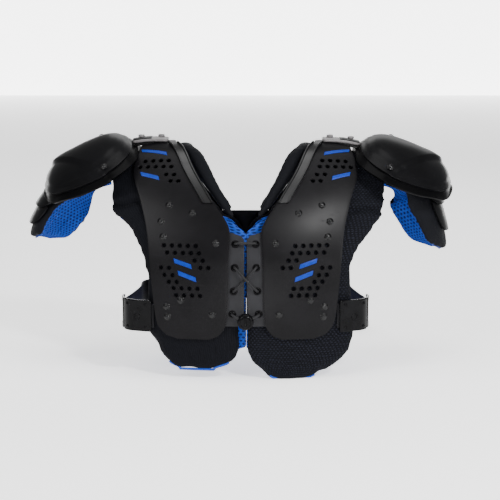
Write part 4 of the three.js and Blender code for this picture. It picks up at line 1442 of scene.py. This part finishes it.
def build_belt(side):
    line, name = belt_line(side), side["name"]
    on_belt = BELT_WALL / 2 + LAYER_GAP

    def strip(piece, columns, rows, *where):
        return stood(f"{piece}_{name}", grid(columns, rows, band(line, side, *where)))

    belt = strip("side_strap", 10, 120, 0, 1, BELT_WALL / 2, BELT_WIDTH)
    add_wall(belt, BELT_WALL, 0.6)
    finished(belt, material("webbing"), "webbing", f"belt_{name}")

    bracket = strip("strap_bracket", 20, 30, 0.01, 0.17, on_belt + 3.4, 42)
    add_wall(bracket, 3.4, 1.3, 4)
    finished(bracket, material("black"), "black_plastic", f"belt_bracket_{name}")

    rim = 5.0 / line.length
    buckle = strip("strap_buckle", 20, 16, 0.185, 0.29, on_belt + 3, 40)
    add_wall(buckle, 3, 0)
    apply_modifiers(buckle)
    hole = strip("hole", 4, 6, 0.185 + rim, 0.29 - rim, on_belt + 9, 30)
    add_wall(hole, 16, 0)
    apply_modifiers(hole)
    tool = bmesh.new()
    tool.from_mesh(hole.data)
    bpy.data.objects.remove(hole)
    cut_away(buckle, tool)
    round_edges(buckle, "edge", 0.9)
    finished(buckle, material("black"), "black_plastic", f"belt_buckle_{name}")

    end = strip("strap_tip", 14, 20, 0.3, 0.4, on_belt + 1.8, 27)
    add_wall(end, 1.8, 0.6)
    finished(end, material("strap_grey"), "strap_grey", f"strap_end_{name}")

    place = band(line, side, 0, 1, on_belt + 3.3, 42)

    def facing(u, v):
        return (place(u, v, 1) - place(u, v, 0)).normalized()

    screws = [
        turned(((0, 0), (2.1, 0), (2.1, 0.7), (1.7, 1.2), (0.9, 1.3), (0.8, 0.6), (0, 0.6)),
               place(u, v, 0), facing(u, v), 18)
        for u in (0.14, 0.86) for v in (0.04, 0.14)
    ]
    screws.append(
        turned(((0, 0), (4.6, 0), (4.6, 0.6), (3.9, 1.5), (2.6, 1.6), (2.2, 0.8), (0, 0.7)),
               place(0.45, 0.09, 0), facing(0.45, 0.09), 28)
    )
    finished(stood(f"bracket_screws_{name}", joined(screws)), material("black"), "black_plastic")


# --- Thin trim ---


def build_accents(side):
    bars = []
    for bar in ACCENT_BARS:
        start, end = (Vector((x * HALF_WIDTH, share * SHARE_RUN)) for x, share in bar)
        way = (end - start).normalized()
        out = Vector((way.y, -way.x))

        def place(u, v, lift):
            flat = start.lerp(end, v) + out * ((u - 0.5) * 5.4) + way * ((u - 0.5) * 3.2)
            return on_form(side["hand"] * flat.x, flat.y / SHARE_RUN, lift)

        bars.append(grid(3, 24, place, ARCH_OUT + 0.55))
    accents = stood(f"accent_bars_{side['name']}", joined(bars))
    add_wall(accents, 0.8, 0.3, 2)
    finished(accents, material("accent"), "mesh_lining")


def hem_path(side, first, last, lift):
    """Points between two places on a chest pad, each a (u, share) pair."""
    points = []
    for n in range(41):
        u, share = mix(first[0], last[0], n / 40), mix(first[1], last[1], n / 40)
        neck, arm = pad_edges(side, share)
        points.append(on_form(side["hand"] * mix(neck, arm, u), share, lift))
    return points


def build_piping(side):
    """The blue edge binding that shows along the foot of each chest pad."""
    size = settings().piping_diameter / MM
    foot = PAD_ROWS[side["name"]]["share"][0] + 0.004
    legs = (
        ((0.04, foot - 0.03), (0.04, foot)),
        ((0.06, foot), (0.94, foot)),
        ((0.96, foot), (0.96, foot - 0.03)),
    )
    path = []
    for first, last in legs:
        path += hem_path(side, first, last, -2.5)
    for point in path:
        point.z = max(point.z, size / 2 - HEM_DEPTH + 0.1)
    tube = swept(Line(path, 3), ring_section(size, 10), 90)
    binding = stood(f"hem_binding_{side['name']}", tube)
    finished(binding, material("piping_blue"), "mesh_lining", sharp=70)


def stitches(points, normals, length, width):
    """Short threads end to end along a path: one small bead each, flattened onto the cloth."""
    beads = []
    run = 0.0
    pitch = length * 1.45
    for (a, b), normal in zip(zip(points, points[1:]), normals):
        step = (b - a).length
        while run < step:
            at = a.lerp(b, run / step)
            bead = bmesh.new()
            bmesh.ops.create_icosphere(bead, subdivisions=1, radius=0.5)
            way = (b - a).normalized()
            side = normal.cross(way).normalized()
            turn = Matrix((way, side, normal)).transposed().to_4x4()
            size = Matrix.Diagonal((length, width, width * 0.8, 1))
            bmesh.ops.transform(bead, verts=bead.verts, matrix=turn @ size)
            for v in bead.verts:
                v.co = to_frame(v.co + at)
            beads.append(bead)
            run += pitch
        run -= step
    return beads


def stitched_path(place, pairs, lift):
    points = [place(u, v, lift) for u, v in pairs]
    normals = [(place(u, v, lift + 1) - place(u, v, lift)).normalized() for u, v in pairs]
    return points, normals


def build_stitching(side):
    """Stitches on the flap, along the belt and across its free end."""

    def place(u, v, lift):
        return on_flap(side, u, v, lift)

    pairs = [(0.075, mix(0.04, 0.95, n / 60)) for n in range(61)]
    beads = stitches(*stitched_path(place, pairs, FLAP_OUT + 0.1), 2.0, 0.6)
    line = belt_line(side)
    strap = band(line, side, 0, 1, BELT_WALL / 2 + 0.05, BELT_WIDTH)
    for u in (0.07, 0.93):
        pairs = [(u, mix(0.41, 0.99, n / 80)) for n in range(81)]
        beads += stitches(*stitched_path(strap, pairs, 0), 2.2, 0.6)
    tip = band(line, side, 0.3, 0.4, BELT_WALL / 2 + LAYER_GAP + 1.85, 27)
    for v in (0.1, 0.9):
        pairs = [(mix(0.1, 0.9, n / 10), v) for n in range(11)]
        beads += stitches(*stitched_path(tip, pairs, 0), 2.0, 0.6)
    sewn = stood(f"stitching_{side['name']}", joined(beads))
    finished(sewn, material("thread"), "webbing", sharp=180)


# --- Stage ---

CAMERA_DISTANCE = 2200.0
CAMERA_RISE = 9.0
CAMERA_AIM = Vector((0, 0, 145.5))
CAMERA_LENS = 115.6
CAMERA_SHIFT = 0.009


def plain(name, colour, glow):
    s = Surface(name, roughness=0.8, emission_strength=glow)
    return s.done(Base_Color=colour, Emission_Color=(1.0, 1.0, 1.0))


def add_light(name, place, size, power, colour=(1, 1, 1)):
    light = bpy.data.lights.new(name, "AREA")
    light.shape = "RECTANGLE"
    light.size, light.size_y = size
    light.energy = power
    light.color = colour
    obj = bpy.data.objects.new(name, light)
    bpy.context.scene.collection.objects.link(obj)
    obj.location = place
    aim = Vector((0, 0, 0.15)) - Vector(place)
    obj.rotation_euler = aim.to_track_quat("-Z", "Y").to_euler()


def build_stage():
    floor = bmesh.new()
    bmesh.ops.create_circle(floor, cap_ends=True, segments=96, radius=9)
    for v in floor.verts:
        v.co.z = -0.0002
    ground = stood("floor", floor)
    ground.data.materials.append(plain("floor", tuple(settings().floor_colour), 1.0))
    screen = bmesh.new()
    for x, z in ((-6, 0), (6, 0), (6, 1.3), (-6, 1.3)):
        screen.verts.new((x, 6, z))
    screen.faces.new(screen.verts)
    backdrop = stood("backdrop", screen)
    backdrop.data.materials.append(plain("backdrop", (1.0, 1.0, 1.0), 4.0))
    world = bpy.data.worlds.new("studio")
    bpy.context.scene.world = world
    world.use_nodes = True
    sky = world.node_tree.nodes["Background"]
    sky.inputs["Color"].default_value = (1, 1, 1, 1)
    sky.inputs["Strength"].default_value = 0.45
    add_light("top_softbox", (0.0, -0.3, 2.0), (1.6, 1.2), 22)
    add_light("key_softbox", (-1.5, -1.7, 1.5), (0.9, 1.1), 34)
    add_light("fill_softbox", (1.7, -1.4, 0.9), (0.8, 1.2), 24)
    add_light("back_softbox", (0.3, 1.9, 1.5), (1.6, 0.9), 12)
    add_light("spark_right", (0.85, -1.5, 1.35), (0.22, 0.22), 34)
    add_light("spark_low", (0.2, -1.9, 0.12), (0.2, 0.1), 10)
    camera = bpy.data.cameras.new("camera")
    camera.lens = CAMERA_LENS
    camera.sensor_width = 36
    camera.shift_x = CAMERA_SHIFT
    camera.clip_end = 50
    camera.dof.use_dof = False
    obj = bpy.data.objects.new("camera", camera)
    bpy.context.scene.collection.objects.link(obj)
    rise = math.radians(CAMERA_RISE)
    away = Vector((0, -math.cos(rise), math.sin(rise))) * CAMERA_DISTANCE
    obj.location = to_frame(CAMERA_AIM + away)
    obj.rotation_euler = (-away).to_track_quat("-Z", "Y").to_euler()
    bpy.context.scene.camera = obj


# --- The add-on ---


def size_property(name, text, default, low, high):
    return bpy.props.FloatProperty(
        name=name, description=text, default=default, min=low, max=high, unit="LENGTH", precision=4
    )


def colour_property(name, text, default):
    return bpy.props.FloatVectorProperty(
        name=name, description=text, default=default, min=0, max=1, size=3, subtype="COLOR"
    )


class ShoulderPadSettings(bpy.types.PropertyGroup):
    """Sizes and colours that a user would change."""

    vent_diameter: size_property(
        "Vent diameter", "Bore of the vent holes in the shells", 0.0054, 0.003, 0.008
    )
    rivet_diameter: size_property(
        "Rivet diameter", "Across the plate rivets' heads", 0.0096, 0.006, 0.012
    )
    piping_diameter: size_property(
        "Binding diameter", "Blue binding along the chest pads' hems", 0.0034, 0.002, 0.005
    )
    pad_swell: size_property(
        "Pad swell", "How far the stuffing may push the pads' cover", 0.004, 0.0, 0.006
    )
    shell_colour: colour_property(
        "Shell colour", "Moulded chest and back shells", (0.0036, 0.0034, 0.004)
    )
    cap_colour: colour_property(
        "Cap colour", "Caps, epaulets and arm cups", (0.0024, 0.0024, 0.0028)
    )
    flap_colour: colour_property("Flap colour", "Lace flaps", (0.013, 0.013, 0.0147))
    fabric_colour: colour_property("Fabric colour", "Covers of the pads", (0.002, 0.0022, 0.0034))
    lining_colour: colour_property(
        "Lining colour", "Mesh lining and the binding that matches it", (0.004, 0.042, 0.3)
    )
    accent_colour: colour_property(
        "Accent colour", "Inlaid bars on the shells", (0.001, 0.021, 0.22)
    )
    floor_colour: colour_property("Floor colour", "The studio floor", (0.9, 0.9, 0.9))


class PieceOperator:
    """Shared by the operators that build one group of like pieces for each side."""

    bl_options = {"REGISTER", "UNDO"}
    builders = ()

    def execute(self, context):
        for build in self.builders:
            for side in SIDES:
                build(side)
        return {"FINISHED"}


class SHOULDERPADS_OT_padding(PieceOperator, bpy.types.Operator):
    """Build the stuffed body pads, arm pads and neck rolls"""

    bl_idname = "shoulder_pads.padding"
    bl_label = "Padding"
    builders = (build_body_pad, build_arm_pad, build_roll)


class SHOULDERPADS_OT_linings(PieceOperator, bpy.types.Operator):
    """Build the blue mesh linings of the body and arm pads"""

    bl_idname = "shoulder_pads.linings"
    bl_label = "Linings"
    builders = (build_liner, build_arm_liner)


class SHOULDERPADS_OT_arches(PieceOperator, bpy.types.Operator):
    """Build the vented arch shells and their neck channels"""

    bl_idname = "shoulder_pads.arches"
    bl_label = "Arches"
    builders = (build_arch, build_rail)


class SHOULDERPADS_OT_caps(PieceOperator, bpy.types.Operator):
    """Build the shoulder caps, the epaulets under them and the arm cups"""

    bl_idname = "shoulder_pads.caps"
    bl_label = "Caps and Cups"

    def execute(self, context):
        for side in SIDES:
            build_dome(side, "cap", "cap", 0, 0, CAP_WALL)
            under = -CAP_WALL - CURVED_GAP
            # The epaulets take the darkened epaulet plastic: painted shade under the caps.
            build_dome(side, "epaulet", "epaulet", EPAULET_MARGIN, under, EPAULET_WALL)
            for cup in CUPS:
                build_cup(side, **cup)
        return {"FINISHED"}


class SHOULDERPADS_OT_lacing(PieceOperator, bpy.types.Operator):
    """Build the lace flaps with their eyelets, the laces and the cord lock"""

    bl_idname = "shoulder_pads.lacing"
    bl_label = "Lacing"

    def execute(self, context):
        for side in SIDES:
            build_flap(side)
        build_laces()
        build_cord_lock()
        return {"FINISHED"}


class SHOULDERPADS_OT_back_panel(PieceOperator, bpy.types.Operator):
    """Build the panel that joins the two halves at the back"""

    bl_idname = "shoulder_pads.back_panel"
    bl_label = "Back Panel"

    def execute(self, context):
        build_back_panel()
        return {"FINISHED"}


class SHOULDERPADS_OT_fastenings(PieceOperator, bpy.types.Operator):
    """Build the shoulder bars, the rivets and the side belts with their buckles"""

    bl_idname = "shoulder_pads.fastenings"
    bl_label = "Bars, Rivets and Belts"
    builders = (build_bar, build_cap_rivets, build_plate_rivets, build_belt)


class SHOULDERPADS_OT_trim(PieceOperator, bpy.types.Operator):
    """Build the accent bars, the hem binding and the stitching"""

    bl_idname = "shoulder_pads.trim"
    bl_label = "Trim"
    builders = (build_accents, build_piping, build_stitching)


class SHOULDERPADS_OT_stage(PieceOperator, bpy.types.Operator):
    """Build the floor, the studio lights and the camera"""

    bl_idname = "shoulder_pads.stage"
    bl_label = "Stage"

    def execute(self, context):
        build_stage()
        return {"FINISHED"}


OPERATORS = (
    SHOULDERPADS_OT_stage,
    SHOULDERPADS_OT_padding,
    SHOULDERPADS_OT_linings,
    SHOULDERPADS_OT_arches,
    SHOULDERPADS_OT_caps,
    SHOULDERPADS_OT_lacing,
    SHOULDERPADS_OT_back_panel,
    SHOULDERPADS_OT_fastenings,
    SHOULDERPADS_OT_trim,
)


class SHOULDERPADS_PT_panel(bpy.types.Panel):
    """Lists the operators and the sizes and colours they use"""

    bl_idname = "SHOULDERPADS_PT_panel"
    bl_label = "Football Shoulder Pads"
    bl_space_type = "VIEW_3D"
    bl_region_type = "UI"
    bl_category = "Shoulder Pads"

    def draw(self, context):
        for operator in OPERATORS:
            self.layout.operator(operator.bl_idname)
        for name in ShoulderPadSettings.__annotations__:
            self.layout.prop(context.scene.shoulder_pads, name)


CLASSES = (ShoulderPadSettings, *OPERATORS, SHOULDERPADS_PT_panel)


def register():
    for cls in CLASSES:
        bpy.utils.register_class(cls)
    bpy.types.Scene.shoulder_pads = bpy.props.PointerProperty(type=ShoulderPadSettings)


def unregister():
    del bpy.types.Scene.shoulder_pads
    for cls in reversed(CLASSES):
        bpy.utils.unregister_class(cls)


def main():
    register()
    for operator in OPERATORS:
        group, name = operator.bl_idname.split(".")
        getattr(getattr(bpy.ops, group), name)()


if __name__ == "__main__":
    main()
